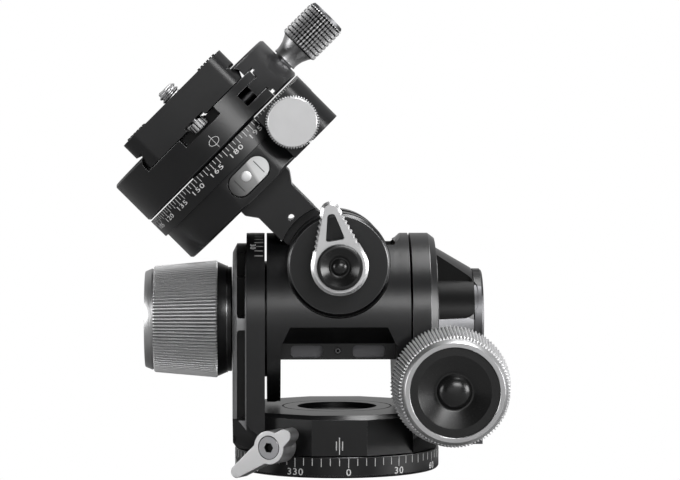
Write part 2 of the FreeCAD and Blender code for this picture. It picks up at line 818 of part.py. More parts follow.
def make_drum():
    """Waisted drum between the arms, with the roll axle's cheeks across its top."""
    half = drum_half_length
    bevel_end = half - flange_width
    bevel_start = bevel_end - flange_bevel_width
    boss_end = arm_inner + drum_boss_entry
    profile = [(0, -boss_end), (drum_boss_radius, -boss_end), (drum_boss_radius, -half), (drum_radius, -half),
               (drum_radius, -bevel_end), (waist_radius, -bevel_start), (waist_radius, bevel_start),
               (drum_radius, bevel_end), (drum_radius, half), (drum_boss_radius, half),
               (drum_boss_radius, boss_end), (0, boss_end)]
    body = turned(profile, right, pitch_axis_point())
    seats = cheek_front - cheek_plate_width
    cheeks = rod(cheek_radius, -seats, seats, back, roll_axis_point())
    window = block((-window_half_width, window_half_width), (-through, through),
                   (0, pitch_height - belly_depth))
    foot = block((-through, through), (-through, through), (0, pitch_height - drum_foot_cut))
    front_cut = belly_cut()
    plate_room = cheek_radius + cheek_recess_gap
    recesses = [rod(plate_room, seats, through, direction, roll_axis_point()) for direction in (front, back)]
    pockets = [belly_pocket(side * belly_pocket_across) for side in (-1, 1)]
    body = body.cut([window, foot, front_cut, front_cut.mirror(origin, back)] + recesses + neck_room())
    body = body.fuse(cheeks).cut(upper_drum_cavity() + pockets + [roll_axle_bore()] + roll_worm_bores())
    return body.removeSplitter()


def roll_axle_bore():
    return rod(roll_axle_radius + roll_bush_wall, -through, through, back, roll_axis_point())


def roll_worm_bores():
    """Stepped bore along the pitch axis: trunnions at both ends, worm and bearings between."""
    worm_room = rod(worm_bore_radius, -trunnion_start, trunnion_start, right, pitch_axis_point())
    trunnions = [rod(trunnion_radius, trunnion_start, through, direction, pitch_axis_point())
                 for direction in (left, right)]
    return [worm_room] + trunnions


def bearing_pair(axis, place):
    """Two plain bearing rings, one at each end of a worm."""
    start = worm_length / 2 + shaft_collar_gap
    ring = tube(worm_bore_radius, worm_shaft_radius + running_gap, start, start + worm_bearing_width)
    pair = Part.makeCompound([ring, ring.mirror(origin, up)])
    return laid_along(pair, axis, place)


def make_left_trunnion():
    """Hollow pin that the drum turns on; the roll worm's shaft runs through it."""
    bore = worm_shaft_radius + cavity_gap
    return tube(trunnion_radius, bore, trunnion_start, left_outer, left, pitch_axis_point())


def make_right_trunnion():
    """Solid pin that carries the pitch wheel inside the gear housing."""
    wheel_start = pitch_worm_across - wheel_width / 2
    wheel_end = pitch_worm_across + wheel_width / 2
    end = wheel_end + wheel_nut_width
    profile = [(0, trunnion_start), (trunnion_radius, trunnion_start), (trunnion_radius, wheel_start),
               (wheel_seat_radius, wheel_start), (wheel_seat_radius, end), (0, end)]
    return turned(profile, right, pitch_axis_point())


def make_wheel_nut():
    start = pitch_worm_across + wheel_width / 2
    end = start + wheel_nut_width
    return tube(wheel_nut_radius, wheel_seat_radius, start, end, right, pitch_axis_point())


def make_roll_bushes():
    seats = cheek_front - cheek_plate_width
    start = hub_half_width + cavity_gap
    ring = tube(roll_axle_radius + roll_bush_wall, roll_axle_radius + running_gap, start, seats)
    return laid_along(Part.makeCompound([ring, ring.mirror(origin, up)]), back, roll_axis_point())


def make_cheek(direction, bore):
    """Round cover over one end of the roll axle."""
    start = cheek_front - cheek_plate_width
    profile = [(bore, start), (cheek_plate_radius, start), (cheek_plate_radius, cheek_front - cheek_bevel),
               (cheek_plate_radius - cheek_bevel, cheek_front), (bore, cheek_front)]
    return turned(profile, direction, roll_axis_point())


# Gear housing

def pitch_worm_point():
    return corner(pitch_worm_across, 0, pitch_worm_height)


def pitch_worm_bore():
    return rod(worm_bore_radius, -through, worm_bore_end, back, pitch_worm_point())


def housing_pocket():
    """Scoop out of the upper front of the cone, open to the arm, with two rounded corners."""
    floor = pitch_height + housing_pocket_floor
    end = right_outer + housing_pocket_end
    pocket = block((0, end), (-through, -housing_pocket_back), (floor, floor + through))
    pocket = pocket.makeFillet(housing_pocket_low_round, edges_at(pocket, x=end, z=floor))
    return pocket.makeFillet(housing_pocket_rear_round, edges_at(pocket, x=end, y=-housing_pocket_back))


def make_gear_housing():
    """Cone over the pitch wheel and a block under it for the pitch worm."""
    start = right_outer
    cone_end = start + housing_cone_length
    groove_end = cone_end + housing_disc_groove
    disc_end = groove_end + housing_disc_width
    groove_radius = housing_disc_radius - housing_disc_groove
    profile = [(0, start), (housing_cone_large, start), (housing_cone_small, cone_end),
               (groove_radius, cone_end), (groove_radius, groove_end), (housing_disc_radius, groove_end),
               (housing_disc_radius, disc_end - small_bevel), (housing_disc_radius - small_bevel, disc_end),
               (0, disc_end)]
    cone = turned(profile, right, pitch_axis_point())
    block_end = start + housing_block_width
    block_top = pitch_height - housing_block_drop
    lower = block((start, block_end), (-housing_block_front, housing_block_rear),
                  (housing_block_bottom, block_top))
    rear_edges = edges_at(lower, y=housing_block_rear, z=housing_block_bottom)
    rear_edges += edges_at(lower, y=housing_block_rear, z=block_top)
    shell = cone.fuse(lower.makeFillet(housing_block_round, rear_edges))
    wheel_case = wheel_tip_radius + cavity_gap
    pocket = housing_pocket().cut(rod(wheel_case + wheel_case_wall, 0, through, right, pitch_axis_point()))
    wheel_end = pitch_worm_across + wheel_width / 2 + cavity_gap
    wheel_room = rod(wheel_case, start, wheel_end, right, pitch_axis_point())
    nut_end = wheel_end + wheel_nut_width
    nut_room = rod(wheel_nut_radius + cavity_gap, start, nut_end, right, pitch_axis_point())
    return shell.cut([pocket, wheel_room, nut_room, pitch_worm_bore()])


# Knobs with a silver grip, a black collar and a black dished face; modelled outwards along +Z

def knob_shaft(axis, seat, worm_place):
    """Worm shaft from the far bearing out to the knob's web."""
    inner = -(worm_length / 2 + shaft_collar_gap + worm_bearing_width + slip_gap)
    outer = seat + knob_length - knob_face_recess - knob_dish_depth
    return rod(worm_shaft_radius, inner, outer, axis, worm_place)


def make_knob_collar(axis, seat, place):
    ring_end = knob_collar_width + knob_ring_width
    profile = [(worm_shaft_radius, 0), (knob_collar_radius, 0), (knob_collar_radius, knob_collar_width),
               (knob_ring_radius, knob_collar_width), (knob_ring_radius, ring_end),
               (knob_large_radius - knob_ring_width, knob_shoulder), (worm_shaft_radius, knob_shoulder)]
    placed = [(radius, seat + height) for radius, height in profile]
    return turned(placed, axis, place)


def make_knob_grip(axis, seat, place):
    barrel_end = knob_shoulder + knob_barrel_width
    groove_end = barrel_end + knob_groove_width
    groove_radius = knob_small_radius - knob_groove_depth
    face_start = knob_length - knob_face_recess - knob_dish_depth
    barrel = faceted([facet_ring(knob_large_radius, seat + knob_shoulder, knob_flat_count),
                      facet_ring(knob_small_radius, seat + barrel_end, knob_flat_count)])
    neck = rod(groove_radius, seat + barrel_end - small_bevel, seat + knob_length)
    rim = turned([(0, seat + groove_end), (knob_rim_radius + small_bevel, seat + groove_end),
                  (knob_rim_radius, seat + knob_length), (0, seat + knob_length)])
    face_seat = rod(knob_face_radius, seat + face_start, seat + knob_length)
    bore = rod(worm_shaft_radius, seat, seat + knob_length)
    neck = neck.common(rod(groove_radius, 0, seat + groove_end))
    return laid_along(merged([barrel, neck, rim]).cut([face_seat, bore]), axis, place)


def make_knob_face(axis, seat, place):
    """Dished insert with a dome in the middle."""
    base = seat + knob_length - knob_face_recess - knob_dish_depth
    top = seat + knob_length - knob_face_recess
    floor = base + knob_face_recess
    dish = turned([(0, base), (knob_face_radius, base), (knob_face_radius, top), (knob_dish_radius, top),
                   (knob_dome_radius, floor), (0, floor)])
    centre = dome(knob_dome_radius, knob_dome_height)
    centre.translate(up * floor)
    return laid_along(dish.fuse(centre), axis, place)


# Release lever

def release_place(shape):
    """Lever modelled pointing along +X, face up, moved to the roll axis and turned to its lean."""
    turn = FreeCAD.Rotation(up, back.cross(up), front, "ZXY")
    lean = FreeCAD.Rotation(back, -release_lean)
    shape.Placement = FreeCAD.Placement(roll_axis_point(), lean.multiply(turn)).multiply(shape.Placement)
    return shape


def release_window(thickness):
    """Opening in the lever that narrows towards the tip, with rounded corners."""
    outline = [corner(release_window_low, -release_window_wide, 0),
               corner(release_window_high, -release_window_narrow, 0),
               corner(release_window_high, release_window_narrow, 0),
               corner(release_window_low, release_window_wide, 0)]
    window = prism(outline, up * thickness)
    upright = [edge for edge in window.Edges if edge.BoundBox.ZLength > thickness / 2]
    return window.makeFillet(release_window_round, upright)


def make_release_lever():
    thickness = release_front - release_back
    lever = link(release_hub_radius, release_tip_radius, release_arm, thickness)
    window = release_window(thickness)
    slope = math.asin((release_hub_radius - release_tip_radius) / release_arm)
    bores = [rod(release_stud_radius, 0, thickness), rod(release_cap_radius, thickness / 2, thickness)]
    cutters = [window] + bores
    for side in (-1, 1):
        for tooth in range(release_tooth_count):
            along = release_teeth_start + tooth * release_tooth_pitch
            edge = release_hub_radius / math.cos(slope) - along * math.tan(slope)
            outside = edge + release_tooth_pitch
            notch = prism([corner(along - release_tooth_pitch / 2, side * outside, 0),
                           corner(along, side * (edge - release_tooth_depth), 0),
                           corner(along + release_tooth_pitch / 2, side * outside, 0)], up * thickness)
            cutters.append(notch)
    lever = lever.cut(cutters)
    lever.translate(up * release_back)
    return release_place(lever)


def make_release_collar():
    """Round boss that the lever stands on, with the stud that enters the cheek."""
    stud_start = roll_axle_half_length + slip_gap
    stud_end = release_back + (release_front - release_back) / 2
    collar_start = cheek_front + slip_gap
    profile = [(0, stud_start), (release_stud_radius, stud_start), (release_stud_radius, collar_start),
               (release_collar_radius, collar_start), (release_collar_radius, release_back),
               (release_stud_radius, release_back), (release_stud_radius, stud_end), (0, stud_end)]
    return turned(profile, front, roll_axis_point())


def make_release_cap():
    """Dished button with a dome in the middle."""
    start = release_back + (release_front - release_back) / 2
    floor = release_cap_front - release_cap_dish_depth
    profile = [(0, start), (release_cap_radius, start), (release_cap_radius, release_cap_front - small_bevel),
               (release_cap_radius - small_bevel, release_cap_front),
               (release_cap_dish_radius, release_cap_front), (release_dome_radius, floor), (0, floor)]
    centre = dome(release_dome_radius, release_dome_height)
    centre.translate(up * floor)
    return laid_along(turned(profile).fuse(centre), front, roll_axis_point())


# Platform: everything below is modelled upright over the roll axis and then leaned to its rest

def leaned(shape):
    shape.Placement = FreeCAD.Placement(roll_axis_point(),
                                        FreeCAD.Rotation(back, rest_roll)).multiply(shape.Placement)
    return shape


def make_neck():
    """Arm from the roll axle up to the deck, with a round relief that clears the cheeks."""
    sides = [corner(-neck_half_width, 0, 0), corner(neck_half_width, 0, 0),
             corner(neck_half_width, 0, neck_flare_start), corner(neck_collar_half, 0, neck_flare_end),
             corner(neck_collar_half, 0, deck_bottom), corner(-neck_collar_half, 0, deck_bottom),
             corner(-neck_collar_half, 0, neck_flare_end), corner(-neck_half_width, 0, neck_flare_start)]
    post = prism(sides, back * (2 * neck_half_depth))
    post.translate(front * neck_half_depth)
    relief = rod(neck_relief_radius, -through, through, back)
    post = post.cut(relief)
    web = block((-neck_half_width, neck_half_width), (-hub_half_width, hub_half_width), (0, neck_flare_start))
    hub = rod(hub_radius, -hub_half_width, hub_half_width, back)
    slot = rod(wheel_tip_radius + slip_gap, -wheel_width / 2, wheel_width / 2, back)
    slot = slot.cut(rod(roll_axle_radius, -through, through, back))
    cross_hole = rod(neck_hole_radius, -through, through, back, up * neck_hole_height)
    lip_end = neck_hole_lip - neck_half_depth
    rear_hole = rod(neck_hole_rear_radius, lip_end, through, back, up * neck_hole_height)
    axle_hole = rod(roll_axle_radius, -through, through, back)
    neck = merged([post, web, hub]).cut([slot, axle_hole, cross_hole, rear_hole])
    return leaned(neck)


def make_roll_axle():
    return rod(roll_axle_radius, -roll_axle_half_length, roll_axle_half_length, back, roll_axis_point())


def deck_lock_boss():
    """Lug on the deck that the deck lock screws into; it stands in front of the dial."""
    near = deck_lock_across - deck_lock_boss_near
    far = deck_lock_across + deck_lock_boss_far
    lug = block((near, far), (-deck_lock_boss_front, 0), (deck_bottom, deck_bottom + deck_lock_boss_top))
    lug = lug.makeFillet(deck_lock_boss_round, edges_at(lug, x=far, y=-deck_lock_boss_front))
    return lug.cut(rod(dial_radius, dial_bottom, through))


def level_recess(radius, depth):
    """Round-ended pocket for the level in the deck's flat."""
    height = deck_bottom + level_height
    start = level_flat - depth
    ends = [rod(radius, start, level_flat, front, corner(side * level_half_length, 0, height))
            for side in (-1, 1)]
    middle = block((-level_half_length, level_half_length), (-level_flat, -start),
                   (height - radius, height + radius))
    return merged(ends + [middle])


def make_deck():
    edge = small_bevel
    profile = [(0, deck_bottom), (deck_radius - edge, deck_bottom), (deck_radius, deck_bottom + edge),
               (deck_radius, dial_bottom), (0, dial_bottom)]
    flat = block((-level_half_width, level_half_width), (-through, -level_flat), (0, through))
    deck = turned(profile).cut(flat)
    deck = merged([deck, deck_lock_boss()])
    lock_place = corner(deck_lock_across, 0, deck_bottom + deck_lock_height)
    screw_hole = rod(deck_lock_screw_radius + running_gap, deck_lock_boss_front - deck_lock_screw_depth,
                     through, front, lock_place)
    slit = block((deck_lock_across - deck_slit_width / 2, deck_lock_across + deck_slit_width / 2),
                 (-through, 0), (0, deck_bottom + deck_slit_width))
    deck = deck.cut([level_recess(level_pocket_radius, level_pocket_depth), screw_hole, slit])
    return leaned(deck)


def make_level_vial():
    """Round-ended spirit level, set a little below the flat."""
    outside = block((-through, through), (-through, slip_gap - level_flat), (0, through))
    return leaned(level_recess(level_vial_radius, level_pocket_depth).cut(outside))


def make_dial():
    profile = [(dial_bore, dial_bottom), (dial_radius, dial_bottom), (dial_radius, dial_bottom + dial_height),
               (dial_bore, dial_bottom + dial_height)]
    return leaned(turned(profile))


def top_bush_start():
    return clamp_bottom + slip_gap


def top_retainer_start():
    return top_bush_start() + top_bush_height + slip_gap


def make_top_spindle():
    flange_top = dial_bottom + top_spindle_flange_height
    profile = [(0, dial_bottom), (top_spindle_flange, dial_bottom), (top_spindle_flange, flange_top),
               (top_spindle_radius, flange_top), (top_spindle_radius, top_retainer_start()),
               (0, top_retainer_start())]
    return leaned(turned(profile))


def make_top_retainer():
    start = top_retainer_start()
    return leaned(rod(top_retainer_radius, start, start + top_retainer_height))


def make_top_bush():
    start = top_bush_start()
    return leaned(tube(top_bush_radius, top_spindle_radius + running_gap, start, start + top_bush_height))


def make_deck_lock_knob():
    start = deck_lock_boss_front + slip_gap
    rim = deck_lock_radius - small_bevel
    profile = [(0, start), (rim, start), (deck_lock_radius, start + small_bevel),
               (deck_lock_radius, start + deck_lock_width - small_bevel),
               (deck_lock_face_radius, start + deck_lock_width), (0, start + deck_lock_width)]
    knob = turned(profile, front, corner(deck_lock_across, 0, deck_bottom + deck_lock_height))
    return leaned(knob)


def make_deck_lock_screw():
    start = deck_lock_boss_front + slip_gap
    screw = rod(deck_lock_screw_radius, start - deck_lock_screw_depth, start, front,
                corner(deck_lock_across, 0, deck_bottom + deck_lock_height))
    return leaned(screw)


# Quick-release clamp

def plate_section(gap, low, high):
    """Cross-section of the plate's dovetail grown by a gap, cut off at two heights."""
    widest = waist_height - plate_dovetail_drop
    slope = (plate_dovetail_half - plate_waist_half) / plate_dovetail_drop
    top_half = plate_waist_half + (waist_height - high) * slope + gap
    return [corner(-plate_dovetail_half - gap, 0, low), corner(plate_dovetail_half + gap, 0, low),
            corner(plate_dovetail_half + gap, 0, widest), corner(top_half, 0, high),
            corner(-top_half, 0, high), corner(-plate_dovetail_half - gap, 0, widest)]


def along_y(outline, half_length):
    sweep = prism(outline, back * (2 * half_length))
    sweep.translate(front * half_length)
    return sweep


def dovetail_room():
    return along_y(plate_section(slide_gap, clamp_seat, clamp_top + small_bevel / 2), through / 2)


def clamp_blank():
    edge = small_bevel
    profile = [(0, clamp_bottom), (clamp_radius - edge, clamp_bottom), (clamp_radius, clamp_bottom + edge),
               (clamp_radius, clamp_top - edge), (clamp_radius - edge, clamp_top), (0, clamp_top)]
    return turned(profile)


def clamp_screw_axis():
    return up * (clamp_bottom + clamp_screw_height)


def clamp_screw_hole():
    start = clamp_screw_tip - cavity_gap
    return rod(clamp_screw_radius + slide_gap / 2, start, through, right, clamp_screw_axis())


def tongue(grow, start):
    """Guide tongue of the jaw, or with room round it its slot in the clamp."""
    middle = clamp_bottom + clamp_screw_height
    half = tongue_height / 2 + grow
    end = jaw_split + jaw_gap + jaw_relief
    return block((start, end), (-clamp_radius, clamp_radius), (middle - half, middle + half))


def make_clamp_body():
    channel = block((-channel_half_width, channel_half_width), (-through, through),
                    (clamp_seat - channel_depth, clamp_top))
    land = block((-channel_half_width, channel_half_width), (-land_half_length, land_half_length),
                 (0, clamp_seat))
    jaw_side = block((jaw_split, through), (-through, through), (0, through))
    jaw_hook = block((0, through), (-through, through), (clamp_seat, through))
    hub_end = top_retainer_start() + top_retainer_height + cavity_gap
    hub_room = rod(top_bush_radius, 0, hub_end)
    tongue_slot = tongue(slide_gap, jaw_split - tongue_slot_depth)
    body = clamp_blank().cut([dovetail_room(), channel.cut(land), jaw_side, jaw_hook])
    body = body.cut([hub_room, clamp_screw_hole(), tongue_slot])
    return leaned(body)


def make_jaw():
    """Moving jaw: it hooks over the clamp's floor and slides out on its tongue."""
    low_side = block((-through, jaw_split + jaw_gap), (-through, through), (0, clamp_seat + slide_gap))
    plate_side = block((-through, 0), (-through, through), (0, through))
    relief_end = jaw_split + jaw_gap + jaw_relief
    lows = [clamp_seat + slide_gap - jaw_relief, clamp_bottom + jaw_relief]
    reliefs = [block((jaw_split, relief_end), (-through, through), (low, low + jaw_relief)) for low in lows]
    jaw = clamp_blank().cut([low_side, plate_side, dovetail_room()] + reliefs)
    guide = tongue(0, jaw_split - tongue_reach + jaw_gap).common(clamp_blank())
    jaw = merged([jaw, guide]).cut(clamp_screw_hole())
    return leaned(jaw)


def make_clamp_screw():
    end = clamp_radius + clamp_knob_gap
    return leaned(rod(clamp_screw_radius, clamp_screw_tip, end, right, clamp_screw_axis()))


def make_clamp_knob():
    start = clamp_radius + clamp_knob_gap
    barrel = start + clamp_knob_neck
    cap = barrel + clamp_knob_barrel
    waist = (clamp_knob_neck_radius + clamp_knob_radius) / 2 - small_bevel
    profile = [(0, start), (clamp_knob_neck_radius, start), (waist, start + clamp_knob_neck / 2),
               (clamp_knob_radius - small_bevel, barrel), (clamp_knob_radius, barrel + small_bevel),
               (clamp_knob_radius, cap), (clamp_knob_cap_radius, cap + clamp_knob_cap),
               (0, cap + clamp_knob_cap)]
    return leaned(turned(profile, right, clamp_screw_axis()))


# Camera plate

def make_plate():
    outline = [corner(-plate_foot_half, 0, plate_bottom), corner(plate_foot_half, 0, plate_bottom),
               corner(plate_dovetail_half, 0, waist_height - plate_dovetail_drop),
               corner(plate_waist_half, 0, waist_height), corner(plate_half_width, 0, waist_height),
               corner(plate_half_width, 0, plate_top), corner(-plate_half_width, 0, plate_top),
               corner(-plate_half_width, 0, waist_height), corner(-plate_waist_half, 0, waist_height),
               corner(-plate_dovetail_half, 0, waist_height - plate_dovetail_drop)]
    body = along_y(outline, plate_half_length)
    body = body.common(rounded_plan())
    notch = block((-plate_notch_half, plate_notch_half), (-through, through),
                  (0, plate_bottom + plate_notch_depth))
    screw_hole = rod(camera_screw_radius + camera_screw_gap, 0, through)
    head_room = rod(camera_head_radius + slip_gap, 0, camera_head_top() + slip_gap)
    seats = [pad_strip(side) for side in (-1, 1)]
    stops = [stop_shank(side) for side in (-1, 1)]
    return leaned(body.cut([notch, screw_hole, head_room] + seats + stops))


def rounded_plan():
    """Upright prism with the plate's rounded corners in plan."""
    half_x = plate_dovetail_half + small_bevel
    half_y = plate_half_length
    inner_x = plate_half_width - plate_corner
    inner_y = half_y - plate_corner
    across = block((-half_x, half_x), (-inner_y, inner_y), (plate_bottom, plate_top))
    along = block((-inner_x, inner_x), (-half_y, half_y), (plate_bottom, plate_top))
    corners = [rod(plate_corner, plate_bottom, plate_top, up, corner(side * inner_x, end * inner_y, 0))
               for side in (-1, 1) for end in (-1, 1)]
    return merged([across, along] + corners)


def pad_strip(side):
    reach = sorted((side * pad_inner, side * pad_outer))
    return block(reach, (-pad_half_length, pad_half_length), (plate_top - pad_sink, plate_top))


def make_plate_pads():
    """Two rubber strips with ridges along the plate."""
    pitch = (pad_outer - pad_inner) / pad_ridge_count
    pads = []
    for side in (-1, 1):
        pieces = [pad_strip(side)]
        for ridge in range(pad_ridge_count):
            reach = sorted((side * (pad_inner + ridge * pitch + pad_ridge_gap / 2),
                            side * (pad_inner + (ridge + 1) * pitch - pad_ridge_gap / 2)))
            height = (plate_top, plate_top + pad_ridge)
            pieces.append(block(reach, (-pad_half_length, pad_half_length), height))
        pads.append(merged(pieces))
    return leaned(Part.makeCompound(pads))


def stop_place(side):
    return corner(0, side * (plate_half_length - stop_end_distance), 0)


def stop_shank(side):
    seat = plate_bottom + plate_notch_depth
    return rod(stop_shank_radius, seat, seat + stop_shank_length, up, stop_place(side))


def make_plate_stops():
    """Screws under the plate that stop it at the land in the clamp's channel."""
    seat = plate_bottom + plate_notch_depth
    stops = []
    for side in (-1, 1):
        head = rod(stop_head_radius, plate_bottom - stop_head_drop, seat, up, stop_place(side))
        stops.append(head.fuse(stop_shank(side)))
    return leaned(Part.makeCompound(stops))


def camera_head_top():
    return plate_bottom + plate_notch_depth + camera_head_height


def make_camera_screw():
    """Captive screw: its thread stands above the plate and a plain shank turns inside it."""
    head_top = camera_head_top()
    top = plate_top + camera_screw_stand
    profile = [(0, head_top - camera_head_height), (camera_head_radius, head_top - camera_head_height),
               (camera_head_radius, head_top), (camera_shank_radius, head_top),
               (camera_shank_radius, plate_top), (camera_screw_radius, plate_top),
               (camera_screw_radius, top - small_bevel), (camera_screw_radius - small_bevel, top), (0, top)]
    return leaned(turned(profile))


pieces = {
    "base_ring": make_base_ring(),
    "pan_spindle": make_pan_spindle(),
    "tripod_bush": make_socket_bush(),
    "pan_retainer": make_pan_retainer(),
    "yoke_block": make_yoke_block(),
    "left_arm": make_left_arm(),
    "right_arm": make_right_arm(),
    "arm_screws": make_arm_screws(),
    "left_bush": make_left_bush(),
    "right_bush": make_right_bush(),
    "gear_housing": make_gear_housing(),
    "pitch_worm_bearings": bearing_pair(back, pitch_worm_point()),
    "pan_lock_shoe": make_pan_lock_shoe(),
    "pan_lock_screw": make_pan_lock_screw(),
    "pan_lock_lever": make_pan_lock_lever(),
    "pitch_worm": worm(back, pitch_worm_point()),
    "pitch_worm_shaft": knob_shaft(front, front_knob_seat, pitch_worm_point()),
    "pitch_knob_collar": make_knob_collar(front, front_knob_seat, pitch_worm_point()),
    "pitch_knob_grip": make_knob_grip(front, front_knob_seat, pitch_worm_point()),
    "pitch_knob_face": make_knob_face(front, front_knob_seat, pitch_worm_point()),
    "drum": make_drum(),
    "left_trunnion": make_left_trunnion(),
    "right_trunnion": make_right_trunnion(),
    "pitch_wheel": worm_wheel(right, pitch_axis_point(pitch_worm_across), wheel_seat_radius),
    "pitch_wheel_nut": make_wheel_nut(),
    "roll_bushes": make_roll_bushes(),
    "front_cheek": make_cheek(front, release_stud_radius + running_gap),
    "rear_cheek": make_cheek(back, 0),
    "roll_worm_bearings": bearing_pair(right, pitch_axis_point()),
    "roll_worm": worm(right, pitch_axis_point()),
    "roll_worm_shaft": knob_shaft(left, left_knob_seat, pitch_axis_point()),
    "roll_knob_collar": make_knob_collar(left, left_knob_seat, pitch_axis_point()),
    "roll_knob_grip": make_knob_grip(left, left_knob_seat, pitch_axis_point()),
    "roll_knob_face": make_knob_face(left, left_knob_seat, pitch_axis_point()),
    "release_collar": make_release_collar(),
    "release_lever": make_release_lever(),
    "release_cap": make_release_cap(),
    "neck": make_neck(),
    "roll_axle": make_roll_axle(),
    "roll_wheel": worm_wheel(back, roll_axis_point(), roll_axle_radius),
    "deck": make_deck(),
    "dial_ring": make_dial(),
    "level_vial": make_level_vial(),
    "top_spindle": make_top_spindle(),
    "top_retainer": make_top_retainer(),
    "deck_lock_knob": make_deck_lock_knob(),
    "deck_lock_screw": make_deck_lock_screw(),
    "clamp_body": make_clamp_body(),
    "top_bush": make_top_bush(),
    "clamp_jaw": make_jaw(),
    "clamp_screw": make_clamp_screw(),
    "clamp_knob": make_clamp_knob(),
    "camera_plate": make_plate(),
    "plate_pads": make_plate_pads(),
    "plate_stops": make_plate_stops(),
    "camera_screw": make_camera_screw(),
}

os.makedirs("parts", exist_ok=True)
for name, shape in pieces.items():
    shape.exportStep("parts/" + name + ".step")
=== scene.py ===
import bpy, bmesh, json, math
from mathutils import Matrix, Vector

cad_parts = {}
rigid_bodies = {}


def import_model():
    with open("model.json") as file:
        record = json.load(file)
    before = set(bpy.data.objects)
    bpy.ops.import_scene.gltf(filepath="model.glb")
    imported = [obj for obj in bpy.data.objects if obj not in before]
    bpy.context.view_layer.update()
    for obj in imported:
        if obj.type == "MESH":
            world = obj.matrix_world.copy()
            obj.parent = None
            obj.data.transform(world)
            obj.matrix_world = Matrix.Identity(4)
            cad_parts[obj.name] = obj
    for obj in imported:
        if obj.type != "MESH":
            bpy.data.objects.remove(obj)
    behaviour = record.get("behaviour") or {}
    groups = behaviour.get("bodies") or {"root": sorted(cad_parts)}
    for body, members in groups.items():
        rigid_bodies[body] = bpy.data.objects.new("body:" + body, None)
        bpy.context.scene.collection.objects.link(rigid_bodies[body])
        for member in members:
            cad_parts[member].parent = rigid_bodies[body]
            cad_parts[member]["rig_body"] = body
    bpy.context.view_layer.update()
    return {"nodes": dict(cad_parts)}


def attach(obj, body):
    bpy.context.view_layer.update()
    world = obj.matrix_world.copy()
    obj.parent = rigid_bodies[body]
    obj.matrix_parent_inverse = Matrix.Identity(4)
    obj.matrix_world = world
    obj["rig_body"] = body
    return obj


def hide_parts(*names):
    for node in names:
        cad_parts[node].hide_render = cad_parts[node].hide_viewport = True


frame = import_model()
nodes = frame["nodes"]
mm = 0.001

# Camera: a long lens in front of the head, a little above its middle and to its left. Colours
# go to the picture as they are, by the standard view transform.


def in_scene(name, data):
    """New object in the scene, made of a camera, a lamp or a mesh."""
    thing = bpy.data.objects.new(name, data)
    bpy.context.scene.collection.objects.link(thing)
    return thing


def looking(place, aim):
    """Rotation of a camera or a lamp that stands at a place and looks at its aim."""
    return (Vector(aim) - Vector(place)).to_track_quat("-Z", "Y").to_euler()


camera_place = (-0.022, -0.870, 0.1065)
camera_aim = (0.00092, 0, 0.0668)
camera_data = bpy.data.cameras.new("camera")
camera_data.sensor_width = 36
camera_data.lens = 156.7
camera = in_scene("camera", camera_data)
camera.location = camera_place
camera.rotation_euler = looking(camera_place, camera_aim)
bpy.context.scene.camera = camera
bpy.context.scene.view_settings.view_transform = "Standard"

# Room: plain white to the camera. Its light is nearly black in front of the head and light grey
# behind it, so that dark metal shows its edges.
room = bpy.data.worlds.new("room")
room.use_nodes = True
tree = room.node_tree
tree.nodes.clear()
world_out = tree.nodes.new("ShaderNodeOutputWorld")
seen = tree.nodes.new("ShaderNodeBackground")
seen.inputs["Color"].default_value = (1, 1, 1, 1)
lit = tree.nodes.new("ShaderNodeBackground")
lit.inputs["Strength"].default_value = 1.0
direction = tree.nodes.new("ShaderNodeTexCoord")
parts = tree.nodes.new("ShaderNodeSeparateXYZ")
depth = tree.nodes.new("ShaderNodeValToRGB")
depth.color_ramp.elements[0].position = 0.40
depth.color_ramp.elements[0].color = (0.03, 0.03, 0.03, 1)
depth.color_ramp.elements[1].position = 0.85
depth.color_ramp.elements[1].color = (0.55, 0.55, 0.55, 1)
half = tree.nodes.new("ShaderNodeMath")
half.operation = "MULTIPLY_ADD"
half.inputs[1].default_value = 0.5
half.inputs[2].default_value = 0.5
choice = tree.nodes.new("ShaderNodeMixShader")
ray = tree.nodes.new("ShaderNodeLightPath")
tree.links.new(direction.outputs["Generated"], parts.inputs[0])
tree.links.new(parts.outputs["Y"], half.inputs[0])
tree.links.new(half.outputs[0], depth.inputs["Fac"])
tree.links.new(depth.outputs["Color"], lit.inputs["Color"])
tree.links.new(ray.outputs["Is Camera Ray"], choice.inputs["Fac"])
tree.links.new(lit.outputs[0], choice.inputs[1])
tree.links.new(seen.outputs[0], choice.inputs[2])
tree.links.new(choice.outputs[0], world_out.inputs[0])
bpy.context.scene.world = room

# Lamps: soft boxes above the head, in front of it, low in front and at both sides. Sizes and
# places are in metres, power in watts.


def soft_box(name, place, aim, width, height, power):
    """Rectangular area lamp at a place, turned to its aim."""
    lamp = bpy.data.lights.new(name, "AREA")
    lamp.shape = "RECTANGLE"
    lamp.size = width
    lamp.size_y = height
    lamp.energy = power
    holder = in_scene(name, lamp)
    holder.location = place
    holder.rotation_euler = looking(place, aim)


soft_box("top_box", (0.25, 0.0, 0.85), (0, 0, 0.07), width=0.5, height=0.3, power=7)
soft_box("front_box", (0.25, -0.9, 0.5), (0, 0, 0.05), width=0.5, height=0.24, power=4.5)
soft_box("low_front_box", (0, -1.2, 0.1), (0, 0, 0.06), width=1.0, height=0.5, power=1.4)
soft_box("left_box", (-0.75, -0.2, 0.17), (0, 0, 0.05), width=0.5, height=0.3, power=2.8)
soft_box("right_box", (0.75, -0.25, 0.17), (0, 0, 0.05), width=0.6, height=0.3, power=6.5)

# Floor: a wide square that the head stands on, grey and matt to the light and plain white to
# the camera.


def new_material(name):
    """Material with nodes: gives back the material, its tree and its shader."""
    finish = bpy.data.materials.new(name)
    finish.use_nodes = True
    return finish, finish.node_tree, finish.node_tree.nodes["Principled BSDF"]


